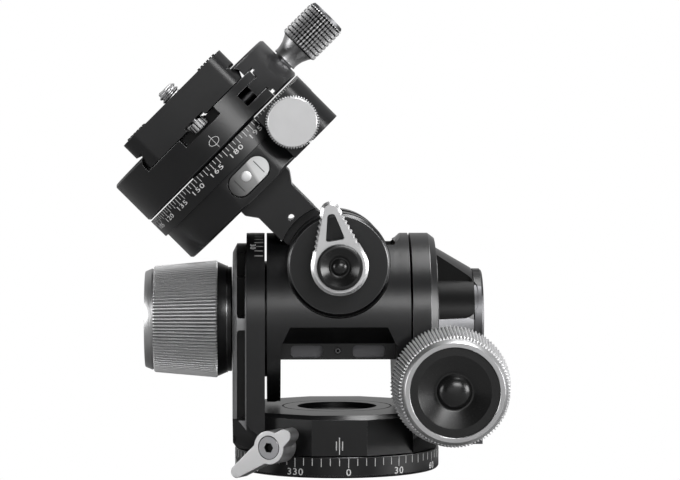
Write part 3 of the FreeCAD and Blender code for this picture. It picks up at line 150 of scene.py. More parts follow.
def mesh_of(shape, name, *finishes):
    """Mesh of gathered geometry, with its finishes in order."""
    mesh = bpy.data.meshes.new(name)
    shape.to_mesh(mesh)
    shape.free()
    for finish in finishes:
        mesh.materials.append(finish)
    return mesh


white, tree, surface = new_material("white_floor")
surface.inputs["Base Color"].default_value = (0.22, 0.22, 0.22, 1)
surface.inputs["Roughness"].default_value = 0.8
glow = tree.nodes.new("ShaderNodeEmission")
choice = tree.nodes.new("ShaderNodeMixShader")
ray = tree.nodes.new("ShaderNodeLightPath")
tree.links.new(ray.outputs["Is Camera Ray"], choice.inputs["Fac"])
tree.links.new(surface.outputs[0], choice.inputs[1])
tree.links.new(glow.outputs[0], choice.inputs[2])
tree.links.new(choice.outputs[0], tree.nodes["Material Output"].inputs["Surface"])
floor_size = 1.5
shape = bmesh.new()
bmesh.ops.create_grid(shape, x_segments=1, y_segments=1, size=floor_size)
floor = in_scene("floor", mesh_of(shape, "floor", white))

# Base ring: the turned plate that screws to the tripod, bead-blasted and black anodised, with a
# degree scale engraved round its rim and filled white.


def metal(name, dark, light, roughness, metallic, grain=0.02, specular=0.5):
    """Blasted or turned metal: two tones, a roughness range and a fine even grain in mm."""
    finish, tree, shader = new_material(name)
    shader.inputs["Metallic"].default_value = metallic
    shader.inputs["Specular IOR Level"].default_value = specular
    place = tree.nodes.new("ShaderNodeTexCoord")
    cloud = tree.nodes.new("ShaderNodeTexNoise")
    cloud.inputs["Scale"].default_value = 70
    cloud.inputs["Detail"].default_value = 6
    fine = tree.nodes.new("ShaderNodeTexNoise")
    fine.inputs["Scale"].default_value = 5000
    fine.inputs["Detail"].default_value = 2
    tone = tree.nodes.new("ShaderNodeValToRGB")
    tone.color_ramp.elements[0].color = dark + (1,)
    tone.color_ramp.elements[1].color = light + (1,)
    tone.color_ramp.elements[0].position = 0.3
    tone.color_ramp.elements[1].position = 0.7
    shine = tree.nodes.new("ShaderNodeMapRange")
    shine.inputs["To Min"].default_value = roughness[0]
    shine.inputs["To Max"].default_value = roughness[1]
    relief = tree.nodes.new("ShaderNodeBump")
    relief.inputs["Strength"].default_value = 0.35
    relief.inputs["Distance"].default_value = grain * mm
    tree.links.new(place.outputs["Object"], cloud.inputs["Vector"])
    tree.links.new(place.outputs["Object"], fine.inputs["Vector"])
    tree.links.new(cloud.outputs["Fac"], tone.inputs["Fac"])
    tree.links.new(tone.outputs["Color"], shader.inputs["Base Color"])
    tree.links.new(fine.outputs["Fac"], shine.inputs["Value"])
    tree.links.new(shine.outputs["Result"], shader.inputs["Roughness"])
    tree.links.new(fine.outputs["Fac"], relief.inputs["Height"])
    tree.links.new(relief.outputs["Normal"], shader.inputs["Normal"])
    return finish


blasted_black = metal("blasted_black", (0.005, 0.005, 0.0055), (0.009, 0.009, 0.0095), (0.26, 0.36), 0.0,
                      specular=0.42)
edge_black = metal("edge_black", (0.09, 0.09, 0.092), (0.13, 0.13, 0.132), (0.22, 0.32), 1.0, 0.005)


def on_body(piece, node):
    """Ties a finished piece to the body that carries a CAD node."""
    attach(piece, nodes[node]["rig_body"])


def edged_copy(node, width, face_finish=blasted_black, edge_finish=edge_black):
    """Copy of a machined solid with its sharp edges broken by a narrow chamfer of a second finish."""
    sharp = math.radians(28)
    shape = bmesh.new()
    shape.from_mesh(nodes[node].data)
    bmesh.ops.remove_doubles(shape, verts=shape.verts, dist=2e-6)
    bmesh.ops.dissolve_limit(shape, angle_limit=math.radians(0.8), verts=shape.verts, edges=shape.edges)
    mesh = mesh_of(shape, node + "_edged", face_finish, edge_finish)
    if "custom_normal" in mesh.attributes:
        mesh.attributes.remove(mesh.attributes["custom_normal"])
    mesh.polygons.foreach_set("material_index", [0] * len(mesh.polygons))
    mesh.shade_smooth()
    mesh.set_sharp_from_angle(angle=sharp)
    piece = in_scene(node + "_edged", mesh)
    chamfer = piece.modifiers.new("broken_edges", "BEVEL")
    chamfer.width = width * mm
    chamfer.segments = 2
    chamfer.limit_method = "ANGLE"
    chamfer.angle_limit = sharp
    chamfer.material = 1
    chamfer.use_clamp_overlap = True
    chamfer.harden_normals = True
    on_body(piece, node)
    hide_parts(node)
    return piece


edged_copy("base_ring", width=0.25)

paint, tree, shader = new_material("engraving_white")
place = tree.nodes.new("ShaderNodeTexCoord")
cloud = tree.nodes.new("ShaderNodeTexNoise")
cloud.inputs["Scale"].default_value = 2500
tone = tree.nodes.new("ShaderNodeValToRGB")
tone.color_ramp.elements[0].color = (0.50, 0.50, 0.50, 1)
tone.color_ramp.elements[1].color = (0.74, 0.74, 0.74, 1)
shader.inputs["Roughness"].default_value = 0.6
tree.links.new(place.outputs["Object"], cloud.inputs["Vector"])
tree.links.new(cloud.outputs["Fac"], tone.inputs["Fac"])
tree.links.new(tone.outputs["Color"], shader.inputs["Base Color"])


line_thickness = 0.06


def bar(shape, size, middle):
    """Adds a box of a size round a middle, both in mm, and gives back its corners."""
    corners = bmesh.ops.create_cube(shape, size=1)["verts"]
    bmesh.ops.scale(shape, vec=[length * mm for length in size], verts=corners)
    bmesh.ops.translate(shape, vec=[place * mm for place in middle], verts=corners)
    return corners


def scale_mark(shape, radius, angle, low, high, width):
    """Upright line on a drum of a radius about Z; angle from the front, towards +X, in degrees."""
    made = bar(shape, (width, line_thickness, high - low), (0, -radius, (low + high) / 2))
    bmesh.ops.rotate(shape, matrix=Matrix.Rotation(math.radians(angle), 3, "Z"), verts=made)


def scale_number(shape, words, radius, angle, middle, size, stretch=1.12):
    """Number bent round the same drum, its middle at a height, widened by a stretch."""
    curve = bpy.data.curves.new("number", "FONT")
    curve.body = words
    curve.size = size * mm
    curve.align_x = "CENTER"
    curve.align_y = "CENTER"
    curve.space_character = 1.15
    curve.extrude = 0.03 * mm
    curve.offset = 0.006 * size * mm
    curve.resolution_u = 3
    maker = bpy.data.objects.new("number", curve)
    flat = bpy.data.meshes.new_from_object(maker)
    for vertex in flat.vertices:
        across, along, lift = vertex.co
        turn = math.radians(angle) + stretch * across / (radius * mm)
        out = radius * mm + lift
        vertex.co = (out * math.sin(turn), -out * math.cos(turn), middle * mm + along)
    shape.from_mesh(flat)
    bpy.data.objects.remove(maker)
    bpy.data.curves.remove(curve)
    bpy.data.meshes.remove(flat)


def engraving(shape, name, node, placed=Matrix.Identity(4)):
    """Turns the gathered marks into one white piece on a body."""
    bmesh.ops.transform(shape, matrix=placed, verts=shape.verts)
    piece = in_scene(name, mesh_of(shape, name, paint))
    on_body(piece, node)


base_rim = 30.0
base_zero = 5
mark_top = 5.7
shape = bmesh.new()
for degrees in range(0, 360, 5):
    low = 3.6
    if degrees % 15 == 0:
        low = 3.3
    if degrees % 30 == 0:
        low = 3.0
        scale_number(shape, str(degrees), base_rim, degrees + base_zero, middle=1.65, size=2.75)
    scale_mark(shape, base_rim, degrees + base_zero, low, mark_top, width=0.2)
engraving(shape, "base_scale", "base_ring")

# Shafts, spindles, trunnions, worms and plain screws: turned steel. Wheels, bushes, bearings and
# the pan lock's shoe: bronze. The pan retainer is black, seen down the hole in the block's top.
turned_steel = metal("turned_steel", (0.30, 0.30, 0.31), (0.38, 0.38, 0.39), (0.25, 0.4), 1.0, 0.004)


def plain_finish(finish, *names):
    """Gives a finish to CAD nodes that keep their own shape."""
    for name in names:
        nodes[name].data.materials.clear()
        nodes[name].data.materials.append(finish)


plain_finish(turned_steel, "tripod_bush", "pan_spindle", "roll_axle", "pitch_worm_shaft",
             "roll_worm_shaft", "pitch_worm", "roll_worm", "left_trunnion", "right_trunnion",
             "pitch_wheel_nut", "top_spindle", "top_retainer", "deck_lock_screw", "clamp_screw")
plain_finish(blasted_black, "pan_retainer")
bearing_bronze = metal("bearing_bronze", (0.42, 0.26, 0.12), (0.55, 0.36, 0.17), (0.3, 0.45), 1.0, 0.004)
plain_finish(bearing_bronze, "pitch_wheel", "roll_wheel", "left_bush", "right_bush", "roll_bushes",
             "pitch_worm_bearings", "roll_worm_bearings", "top_bush", "pan_lock_shoe")

# Yoke block: twelve-sided block that turns on the base, with an index of three lines on its
# front facet that points at the base scale.
edged_copy("yoke_block", width=0.3)
front_facet = 29.5
side_line_length, side_line_height, side_line_apart = 2.6, 9.3, 0.88
line_width = 0.3
shape = bmesh.new()
scale_mark(shape, front_facet, 0, low=6.8, high=11.7, width=line_width)
for side in (-1, 1):
    bar(shape, (line_width, line_thickness, side_line_length),
        (side * side_line_apart, -front_facet, side_line_height))
engraving(shape, "pan_index", "yoke_block")

# Arms: milled from plate, screwed to the block from outside with two socket screws each. The
# left one has a pocket in its outer side and carries the pitch scale on its round top.
# Lighter grey laid only on the left arm's front wall: a painted highlight of the lamps.
arm_front_painted_sheen = metal("arm_front_painted_sheen", (0.25, 0.25, 0.255), (0.31, 0.31, 0.315), (0.36, 0.46), 1.0, 0.006)
# Grey metal: the clamp knob cap's own colour, and a painted highlight on the housing's front strips and in
# the drum's belly pocket.
grey_cap_and_painted_sheen = metal("grey_cap_and_painted_sheen", (0.10, 0.10, 0.105), (0.14, 0.14, 0.145), (0.36, 0.46), 1.0, 0.006)
# Near black with little shine: painted shade in the arm and housing pockets, in the pan lock screw's socket
# and in the ring round its head; the thrust washer's own black.
painted_shade_and_washer_black = metal("painted_shade_and_washer_black", (0.003, 0.003, 0.003), (0.005, 0.005, 0.005), (0.3, 0.4), 0.0,
                     specular=0.12)
pitch_height = 43.6


def finish_faces(piece, finish, chosen):
    """Another finish for the faces that a test of their middle, in mm, and normal picks."""
    piece.data.materials.append(finish)
    for face in piece.data.polygons:
        if chosen(face.center / mm, face.normal):
            face.material_index = len(piece.data.materials) - 1


def on_outer_wall(middle, normal):
    """Walls of the left arm's outer part, that stand square to its flat side."""
    return middle.x < -26.6 and abs(normal.x) < 0.9


def in_arm_pocket(middle, normal):
    """Walls of the pocket in the left arm's round top."""
    return on_outer_wall(middle, normal) and abs(middle.y) < 19 and middle.z > pitch_height


def on_arm_front(middle, normal):
    """Front wall of the left arm, above its foot and outside its pocket."""
    reach = math.hypot(middle.y, max(middle.z - pitch_height, 0))
    return on_outer_wall(middle, normal) and middle.y < 0 and middle.z > 16 and reach > 19.5


left_dressed = edged_copy("left_arm", width=0.3)
# Painted shade: the pocket's walls in near black.
finish_faces(left_dressed, painted_shade_and_washer_black, in_arm_pocket)
# Painted highlight: the arm's front wall in lighter grey.
finish_faces(left_dressed, arm_front_painted_sheen, on_arm_front)
edged_copy("right_arm", width=0.3)


def edges_at(vertices):
    """Every edge that ends in one of the vertices, once each and in a fixed order."""
    return list(dict.fromkeys(edge for vertex in vertices for edge in vertex.link_edges))


def extruded(shape, edges, lift=0):
    """Extrudes edges by a lift along local Z; gives back their new corners and new edges."""
    made = bmesh.ops.extrude_edge_only(shape, edges=edges)["geom"]
    corners = [item for item in made if isinstance(item, bmesh.types.BMVert)]
    bmesh.ops.translate(shape, vec=(0, 0, lift * mm), verts=corners)
    return corners, [item for item in made if isinstance(item, bmesh.types.BMEdge)]


def socket_head(shape, radius, across, top, depth):
    """Face of a screw head about local Z with a broken rim and a hexagon socket."""
    broken = 0.2
    rim = bmesh.ops.create_circle(shape, segments=48, radius=radius * mm)["verts"]
    outer = edges_at(rim)
    mouth = bmesh.ops.create_circle(shape, segments=6, radius=across / math.sqrt(3) * mm)["verts"]
    inner = edges_at(mouth)
    bmesh.ops.translate(shape, vec=(0, 0, top * mm), verts=rim + mouth)
    bmesh.ops.bridge_loops(shape, edges=outer + inner)
    bottom = extruded(shape, inner, -depth)[1]
    bmesh.ops.contextual_create(shape, geom=bottom)
    slope, skirt = extruded(shape, outer)
    for vertex in slope:
        vertex.co = (vertex.co.x * (1 + broken / radius), vertex.co.y * (1 + broken / radius),
                     (top - broken) * mm)
    extruded(shape, skirt, -depth)


def placed_mesh(shape, name, place, *finishes):
    """Mesh of gathered geometry with its faces turned outwards, moved to its place."""
    bmesh.ops.recalc_face_normals(shape, faces=shape.faces)
    bmesh.ops.transform(shape, matrix=place, verts=shape.verts)
    return mesh_of(shape, name, *finishes)


def piece_from(shape, name, finish, place, node):
    """Smooth piece of gathered geometry with sharp corners, on the body of a CAD node."""
    mesh = placed_mesh(shape, name, place, finish)
    mesh.shade_smooth()
    mesh.set_sharp_from_angle(angle=math.radians(25))
    piece = in_scene(name, mesh)
    on_body(piece, node)
    return piece


def at(x, y, z):
    """Shift to a place in mm."""
    return Matrix.Translation((x * mm, y * mm, z * mm))


def turned(degrees, axis):
    """Turn about an axis through the origin."""
    return Matrix.Rotation(math.radians(degrees), 4, axis)


screw_height = 12.15
for side, hand, head_top in ((-1, "left", 30.6), (1, "right", 28.85)):
    for y, end in ((-8.5, "front"), (8.5, "rear")):
        shape = bmesh.new()
        socket_head(shape, radius=4.0, across=4.0, top=head_top, depth=2.0)
        arm_screw = piece_from(shape, "arm_screw_%s_%s" % (hand, end), edge_black,
                               at(0, y, screw_height) @ turned(side * 90, "Y"), "arm_screws")
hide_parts("arm_screws")
arm_top = 25.3
mark_start, mark_end = -24.2, -21.7
numbered_shorter = 0.4
shape = bmesh.new()
for degrees in range(-40, 41, 5):
    low = mark_start + numbered_shorter * (degrees % 30 == 0)
    scale_mark(shape, arm_top, degrees, low, mark_end, width=0.2)
for degrees in (-30, 0, 30):
    scale_number(shape, str(abs(degrees)), arm_top, degrees, middle=-24.75, size=2.3)
pitch_frame = Matrix(((0, 0, 1, 0), (-1, 0, 0, 0), (0, -1, 0, pitch_height * mm), (0, 0, 0, 1)))
engraving(shape, "pitch_scale", "left_arm", pitch_frame)

# Gear housing: the cone over the pitch wheel and the block that holds the pitch worm, milled
# from one lump and screwed to the right arm. A pocket in its front lies over the worm's block.
pocket_floor = 44.7


def in_housing_pocket(middle, normal):
    """Round wall, back, floor and side of the pocket."""
    inside = 28.9 < middle.x < 41 and middle.y < -3 and middle.z > pocket_floor
    round_wall = math.hypot(middle.y, middle.z - pitch_height) < 14.6
    return inside and (round_wall or normal.y < -0.95 or normal.z > 0.95 or normal.x < -0.9)


def on_housing_front(middle, normal):
    """Front faces below the pocket and to its right."""
    return normal.y < -0.6 and middle.z < 54 and (middle.z < pocket_floor or middle.x > 39.8)


housing = edged_copy("gear_housing", width=0.3)
# Painted shade in the pocket in near black; painted highlight in grey on the front faces below it and to its
# right.
finish_faces(housing, painted_shade_and_washer_black, in_housing_pocket)
finish_faces(housing, grey_cap_and_painted_sheen, on_housing_front)

# Drum and its round cheeks: they carry the roll axle and turn between the arms. The middle of
# the drum is drawn out flush with its end flanges at the front and rear.
drum_dressed = edged_copy("drum", width=0.25)
flange_radius = 25.3
waist_end, waist_rise = 18.25, 23.65
waist_bottom, waist_brim = 23.4, 25.25
for vertex in drum_dressed.data.vertices:
    x, y, z = vertex.co / mm
    rise = z - pitch_height
    on_waist = abs(x) < waist_end and abs(y) > 0.5 and abs(rise) < waist_rise
    if on_waist and waist_bottom < math.hypot(y, rise) < waist_brim:
        vertex.co.y = math.copysign(math.sqrt(flange_radius ** 2 - rise ** 2), y) * mm


def in_belly(middle, normal):
    """Strips on both sides of the belly screw, painted lighter grey as the light inside the pocket."""
    in_front = -11.9 <= middle.y < -8.8 and 33.1 < middle.z < 36.7
    return in_front and 4.2 < abs(middle.x) < 13.8 and normal.z > -0.5


# Painted highlight: the belly strips in lighter grey.
finish_faces(drum_dressed, grey_cap_and_painted_sheen, in_belly)
belly_screw_height = 35.1
shape = bmesh.new()
socket_head(shape, radius=0.8, across=0.7, top=12.4, depth=0.4)
piece_from(shape, "belly_screw", edge_black, at(0, 0, belly_screw_height) @ turned(90, "X"), "drum")
edged_copy("front_cheek", width=0.2)
edged_copy("rear_cheek", width=0.2)

# Large knobs: a black collar with a dark bare ring, a clear-anodised grip with straight
# knurling, a bright turned rim and a gloss black dish with a dome.
# Dark grey laid in the troughs of all knurling: painted shade.
groove_painted_shade = metal("groove_painted_shade", (0.07, 0.07, 0.071), (0.11, 0.11, 0.112), (0.4, 0.5), 1.0, 0.006)
clear_silver = metal("clear_silver", (0.66, 0.66, 0.665), (0.76, 0.76, 0.765), (0.42, 0.52), 1.0, 0.006)
bright_rim = metal("bright_rim", (0.44, 0.44, 0.445), (0.54, 0.54, 0.545), (0.32, 0.42), 1.0, 0.003)
gloss_black = metal("gloss_black", (0.004, 0.004, 0.004), (0.007, 0.007, 0.007), (0.22, 0.3), 0.0, 0.002)


def half_section(shape, points):
    """Line through (radius, height) points, to be spun: gives back its corners and edges."""
    line = [shape.verts.new((radius * mm, 0, height * mm)) for radius, height in points]
    return line + [shape.edges.new((line[i], line[i + 1])) for i in range(len(line) - 1)]


def line_distance(spot, start, end):
    """How far a spot of the half-section lies from one of its lines."""
    run = end - start
    along = max(0.0, min(1.0, (spot - start).dot(run) / max(run.length_squared, 1e-9)))
    return (start + run * along - spot).length


def turned_piece(name, profile, finishes, place, node, steps=96, second=()):
    """Lathe-turned piece about local Z; lines of the profile in second have the second finish."""
    shape = bmesh.new()
    bmesh.ops.spin(shape, geom=half_section(shape, profile), cent=(0, 0, 0), axis=(0, 0, 1),
                   angle=math.tau, steps=steps, use_merge=True)
    bmesh.ops.remove_doubles(shape, verts=shape.verts, dist=1e-6)
    lines = [(Vector(profile[i]), Vector(profile[i + 1]), int(i in second)) for i in range(len(profile) - 1)]
    for face in shape.faces:
        middle = face.calc_center_median()
        spot = Vector((math.hypot(middle.x, middle.y) / mm, middle.z / mm))
        face.material_index = min(lines, key=lambda line: line_distance(spot, line[0], line[1]))[2]
        face.smooth = True
    mesh = placed_mesh(shape, name, place, *finishes)
    mesh.set_sharp_from_angle(angle=math.radians(25))
    piece = in_scene(name, mesh)
    on_body(piece, node)
    return piece


def rib_mesh(name, ribs, rings, finish, place, node):
    """Straight ribs round local Z, their troughs painted dark grey as shade; rings list (crest, trough,
    height).
    """
    steps = ribs * 4
    shape = bmesh.new()
    ring = bmesh.ops.create_circle(shape, segments=steps, radius=1)["verts"]
    edges = list(shape.edges)
    for number, (crest, trough, height) in enumerate(rings):
        if number:
            ring, edges = extruded(shape, edges)
        for vertex in ring:
            step = round(math.atan2(vertex.co.y, vertex.co.x) / math.tau * steps) % steps
            radius = crest if step % 4 < 2 else trough
            angle = math.tau * step / steps
            vertex.co = (radius * mm * math.cos(angle), radius * mm * math.sin(angle), height * mm)
    # Trough faces take the second finish: painted shade.
    for face in shape.faces:
        middle = face.calc_center_median()
        if int(math.atan2(middle.y, middle.x) % math.tau / math.tau * steps) % 4 == 2:
            face.material_index = 1
    piece = in_scene(name, placed_mesh(shape, name, place, finish, groove_painted_shade))
    on_body(piece, node)
    return piece


def large_knob(prefix, place):
    """One large knob about local Z, its back at height 0."""
    grip = rib_mesh(prefix + "_ribs", 100, [(15.9, 15.9, 4.1), (16.9, 16.4, 4.15), (17.2, 16.4, 4.6),
                                            (15.6, 14.9, 22.4), (15.3, 14.9, 22.75), (14.75, 14.75, 22.8)],
                    clear_silver, place, prefix + "_grip")
    turned_piece(prefix + "_rim", [(14.75, 22.8), (14.75, 23.3), (14.9, 23.35), (14.65, 23.9), (14.1, 25.2),
                                   (13.9, 25.4), (12.75, 25.4), (12.65, 25.3), (12.65, 22.0)],
                 [bright_rim], place, prefix + "_grip")
    turned_piece(prefix + "_back", [(3.0, 4.1), (15.9, 4.1)],
                 [clear_silver], place, prefix + "_grip")
    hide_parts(prefix + "_grip")
    collar = turned_piece(prefix + "_seat", [(3.0, 0), (15.2, 0), (15.35, 0.15), (15.35, 1.2), (15.7, 1.2),
                                             (15.7, 1.55), (16.8, 4.0), (16.5, 4.1), (3.0, 4.1)],
                          [blasted_black, edge_black], place, prefix + "_collar",
                          second=(3, 4))
    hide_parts(prefix + "_collar")
    dish = turned_piece(prefix + "_dish", [(0, 21.4), (12.65, 21.4), (12.65, 24.3), (12.5, 24.4),
                                           (10.3, 24.4), (10.1, 24.3), (5.6, 22.5), (5.35, 22.4),
                                           (5.0, 22.4), (4.8, 22.9), (4.3, 23.7), (3.5, 24.3),
                                           (2.5, 24.75), (1.3, 24.98), (0, 25.05)],
                        [gloss_black], place, prefix + "_face")
    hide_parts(prefix + "_face")


front_knob_place = at(31.6, -26.6, 26.6) @ turned(90, "X")
left_knob_place = at(-30.9, 0, pitch_height) @ turned(-90, "Y")
large_knob("pitch_knob", front_knob_place)
large_knob("roll_knob", left_knob_place)

# Release lever: a flat silver lever with a window and serrated sides, on a black collar, held by
# a gloss black dished cap.
lever_silver = metal("lever_silver", (0.54, 0.54, 0.545), (0.62, 0.62, 0.625), (0.34, 0.44), 1.0, 0.006)
# Lighter silver for the lever's side walls: a painted highlight of their chamfer.
lever_edge_painted_highlight = metal("lever_edge_painted_highlight", (0.62, 0.62, 0.625), (0.70, 0.70, 0.705), (0.32, 0.42), 1.0, 0.003)
roll_height = 60.6
lever_back, lever_shoulder, lever_top = 30.0, 33.2, 34.0
tooth_depth = 0.55
edge_slope = 0.85
hub_recess_radius, hub_recess_depth = 6.6, 1.8
window_corner = 0.85
lever_lean = 9.5


def lever_outline(inset, depth):
    """The lever's outline, its arm along local Y, with seven teeth cut into each side."""
    hub, tip, arm = 8.2, 2.8, 16.0
    first_tooth, tooth = 3.0, 1.48
    slope = math.asin((hub - tip) / arm)
    steps = [(0, 0)] + [(first_tooth + step * tooth / 2, depth * (step % 2)) for step in range(15)]
    steps.append((arm * math.cos(slope), 0))
    right = [((hub - inset - cut) * math.cos(slope) - run * math.sin(slope),
              (hub - inset - cut) * math.sin(slope) + run * math.cos(slope)) for run, cut in steps]
    points = list(right)
    for step in range(1, 12):
        angle = slope + (math.pi - 2 * slope) * step / 12
        points.append(((tip - inset) * math.cos(angle), arm + (tip - inset) * math.sin(angle)))
    points += [(-x, y) for x, y in reversed(right)]
    for step in range(1, 40):
        angle = math.pi - slope + (math.pi + 2 * slope) * step / 40
        points.append(((hub - inset) * math.cos(angle), (hub - inset) * math.sin(angle)))
    return points


shape = bmesh.new()
mark = shape.verts.layers.int.new("place")
ring = bmesh.ops.create_circle(shape, segments=len(lever_outline(0, 0)), radius=1)["verts"]
for number, vertex in enumerate(ring):
    vertex[mark] = number
back_edges = front_edges = list(shape.edges)
for inset, depth, height in ((0, tooth_depth, lever_back), (0, tooth_depth, lever_shoulder),
                             (edge_slope, 0, lever_top)):
    if height != lever_back:
        ring, front_edges = extruded(shape, front_edges)
    points = lever_outline(inset, depth)
    for vertex in ring:
        vertex.co = (points[vertex[mark]][0] * mm, points[vertex[mark]][1] * mm, height * mm)
hub_ring = bmesh.ops.create_circle(shape, segments=64, radius=hub_recess_radius * mm)["verts"]
window_corners = bmesh.ops.create_circle(shape, segments=4, radius=1, cap_ends=True)["verts"]
for vertex, (x, y) in zip(window_corners, ((2.8, 7.6), (1.0, 15.3), (-1.0, 15.3), (-2.8, 7.6))):
    vertex.co = (x * mm, y * mm, 0)
bmesh.ops.bevel(shape, geom=window_corners, offset=window_corner * mm, segments=5, profile=0.5,
                affect="VERTICES")
window_faces = [face for face in shape.faces if abs(face.calc_center_median().z) < 1e-9]
window_edges = list(dict.fromkeys(edge for face in window_faces for edge in face.edges))
bmesh.ops.delete(shape, geom=window_faces, context="FACES_ONLY")
hub_edges = edges_at(hub_ring)
openings = list({vertex for edge in window_edges + hub_edges for vertex in edge.verts})
bmesh.ops.translate(shape, vec=(0, 0, lever_top * mm), verts=openings)
bmesh.ops.triangle_fill(shape, use_beauty=True, edges=front_edges + window_edges + hub_edges,
                        normal=(0, 0, 1))
window_rim = extruded(shape, window_edges, lever_back - lever_top)[1]
bmesh.ops.triangle_fill(shape, use_beauty=True, edges=back_edges + window_rim, normal=(0, 0, -1))
hub_rim = extruded(shape, hub_edges, -hub_recess_depth)[1]
bmesh.ops.contextual_create(shape, geom=hub_rim)
release_place = at(0, 0, roll_height) @ turned(90, "X")
lever = piece_from(shape, "release_lever_toothed", lever_silver, release_place @ turned(lever_lean, "Z"),
                   "release_lever")
# Painted highlight: the lever's side walls in lighter silver.
finish_faces(lever, lever_edge_painted_highlight, lambda middle, normal: abs(normal.y) < 0.95)
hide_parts("release_lever")
edged_copy("release_collar", width=0.2)
cap = turned_piece("release_dish", [(0, 32.0), (6.55, 32.0), (6.55, 35.2), (6.4, 35.55), (6.05, 35.7),
                                    (5.5, 35.7), (5.35, 35.6), (2.85, 33.75), (2.7, 33.7), (2.5, 33.7),
                                    (2.35, 34.2), (1.9, 34.8), (1.2, 35.2), (0.6, 35.36), (0, 35.4)],
                   [gloss_black], release_place, "release_cap", steps=64)
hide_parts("release_cap")

# Pan lock: a cast silver wing lever on a screw with a hexagon socket, whose head sits in a ring at the
# lever's hub. Socket and ring are painted near black as shade.
edged_copy("pan_lock_lever", 0.5, lever_silver, bright_rim)
pan_height = 9.5
pan_axis = Vector((-0.5, -math.cos(math.radians(30)), 0))
pan_place = at(0, 0, pan_height) @ pan_axis.to_track_quat("Z", "X").to_matrix().to_4x4()
shank_radius, shank_length, shank_middle = 2.5, 27.8, 25.5


def in_socket(middle, normal):
    """Walls and floor of the screw's hexagon socket."""
    local = pan_place.inverted() @ (middle * mm)
    return 38 < local.z / mm < 40.45 and local.xy.length < 1.7 * mm


shape = bmesh.new()
socket_head(shape, radius=3.15, across=2.6, top=40.5, depth=1.6)
shank = bmesh.ops.create_cone(shape, cap_ends=True, segments=48, radius1=shank_radius * mm,
                              radius2=shank_radius * mm, depth=shank_length * mm)
bmesh.ops.translate(shape, vec=(0, 0, shank_middle * mm), verts=shank["verts"])
screw = piece_from(shape, "pan_lock_socket_screw", turned_steel, pan_place, "pan_lock_screw")
# Painted shade: the socket's walls and floor in near black.
finish_faces(screw, painted_shade_and_washer_black, in_socket)
# Painted shade: a thin near-black ring round the screw head.
turned_piece("pan_lock_seat", [(2.9, 40.42), (3.7, 40.42), (3.75, 40.3)], [painted_shade_and_washer_black], pan_place,
             "pan_lock_screw", steps=64)
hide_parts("pan_lock_screw")

# Platform: the neck, the deck and the scale ring, all black anodised. It leans 45 degrees to the
# left at rest. A thin black thrust washer carries the clamp on the ring.
leaned = at(0, 0, roll_height) @ turned(-45, "Y")
edged_copy("neck", width=0.25)
edged_copy("deck", width=0.25)
edged_copy("dial_ring", width=0.08, edge_finish=blasted_black)
dial_radius = 30.3
dial_top = 46.8
number_height = 43.8
zero_shift = math.degrees(2.4 / dial_radius)
shape = bmesh.new()
for step in range(144):
    degrees = step * 2.5
    angle = degrees - 180 + zero_shift
    length = 2.1 if step % 2 == 0 else 1.4
    scale_mark(shape, dial_radius, angle, dial_top - length, dial_top, width=0.17)
    if step % 6 == 0:
        scale_number(shape, str(int(degrees)), dial_radius, angle, number_height, size=1.95, stretch=1.6)
engraving(shape, "clamp_scale", "dial_ring", leaned)
washer_bore, washer_rim = 9.3, 12.7
washer_low, washer_high = 46.92, 47.18
turned_piece("top_thrust_washer", [(washer_bore, washer_low), (washer_rim, washer_low),
                                   (washer_rim, washer_high), (washer_bore, washer_high),
                                   (washer_bore, washer_low)],
             [painted_shade_and_washer_black], leaned, "dial_ring")

# Spirit level: a vial in the deck's front, painted dark at one end and light at the other as the shade and
# light in its glass, with two dark lines and the bubble between them.
vial, tree, shader = new_material("vial_painted_light")
shader.inputs["Roughness"].default_value = 0.08
place = tree.nodes.new("ShaderNodeTexCoord")
along = tree.nodes.new("ShaderNodeVectorMath")
along.operation = "DOT_PRODUCT"
along.inputs[1].default_value = (0.84, 0.0, 0.54)
span = tree.nodes.new("ShaderNodeMapRange")
span.inputs["From Min"].default_value = 0.0190
span.inputs["From Max"].default_value = 0.0310
tone = tree.nodes.new("ShaderNodeValToRGB")
# Painted shade and light of the glass: from near black at one end through greys to pale at the other.
for stop, grey in ((0.35, 0.18), (0.58, 0.26), (0.66, 0.62)):
    tone.color_ramp.elements.new(stop).color = (grey, grey, grey, 1)
tone.color_ramp.elements[0].color = (0.03, 0.03, 0.03, 1)
tone.color_ramp.elements[4].color = (0.72, 0.73, 0.73, 1)
tree.links.new(place.outputs["Object"], along.inputs[0])
tree.links.new(along.outputs["Value"], span.inputs["Value"])
tree.links.new(span.outputs["Result"], tone.inputs["Fac"])
tree.links.new(tone.outputs["Color"], shader.inputs["Base Color"])
plain_finish(vial, "level_vial")
dark_line = metal("dark_line", (0.01, 0.01, 0.01), (0.02, 0.02, 0.02), (0.3, 0.4), 0.0, 0.002)
level_place = leaned @ at(0, -28.1, 36.3) @ turned(90, "X")
vial_line = (0.22, 4.5, 0.08)
vial_line_apart = 3.9
bubble_radius, bubble_shift, bubble_flat = 1.5, 0.6, 0.12
shape = bmesh.new()
for side in (-1, 1):
    bar(shape, vial_line, (side * vial_line_apart, 0, 0))
piece_from(shape, "level_lines", dark_line, level_place, "level_vial")
shape = bmesh.new()
bubble = bmesh.ops.create_uvsphere(shape, u_segments=32, v_segments=16, radius=bubble_radius * mm)["verts"]
bmesh.ops.scale(shape, vec=(1, 1, bubble_flat), verts=bubble)
bmesh.ops.translate(shape, vec=(-bubble_shift * mm, bubble_shift * mm, 0), verts=bubble)
piece_from(shape, "level_bubble", clear_silver, level_place, "level_vial")

# Deck lock knob: a turned steel-coloured disc with a fine knurled rim and a silver face, on the
# right of the deck.
knob_place = leaned @ at(19.5, 0, 38.5) @ turned(90, "X")
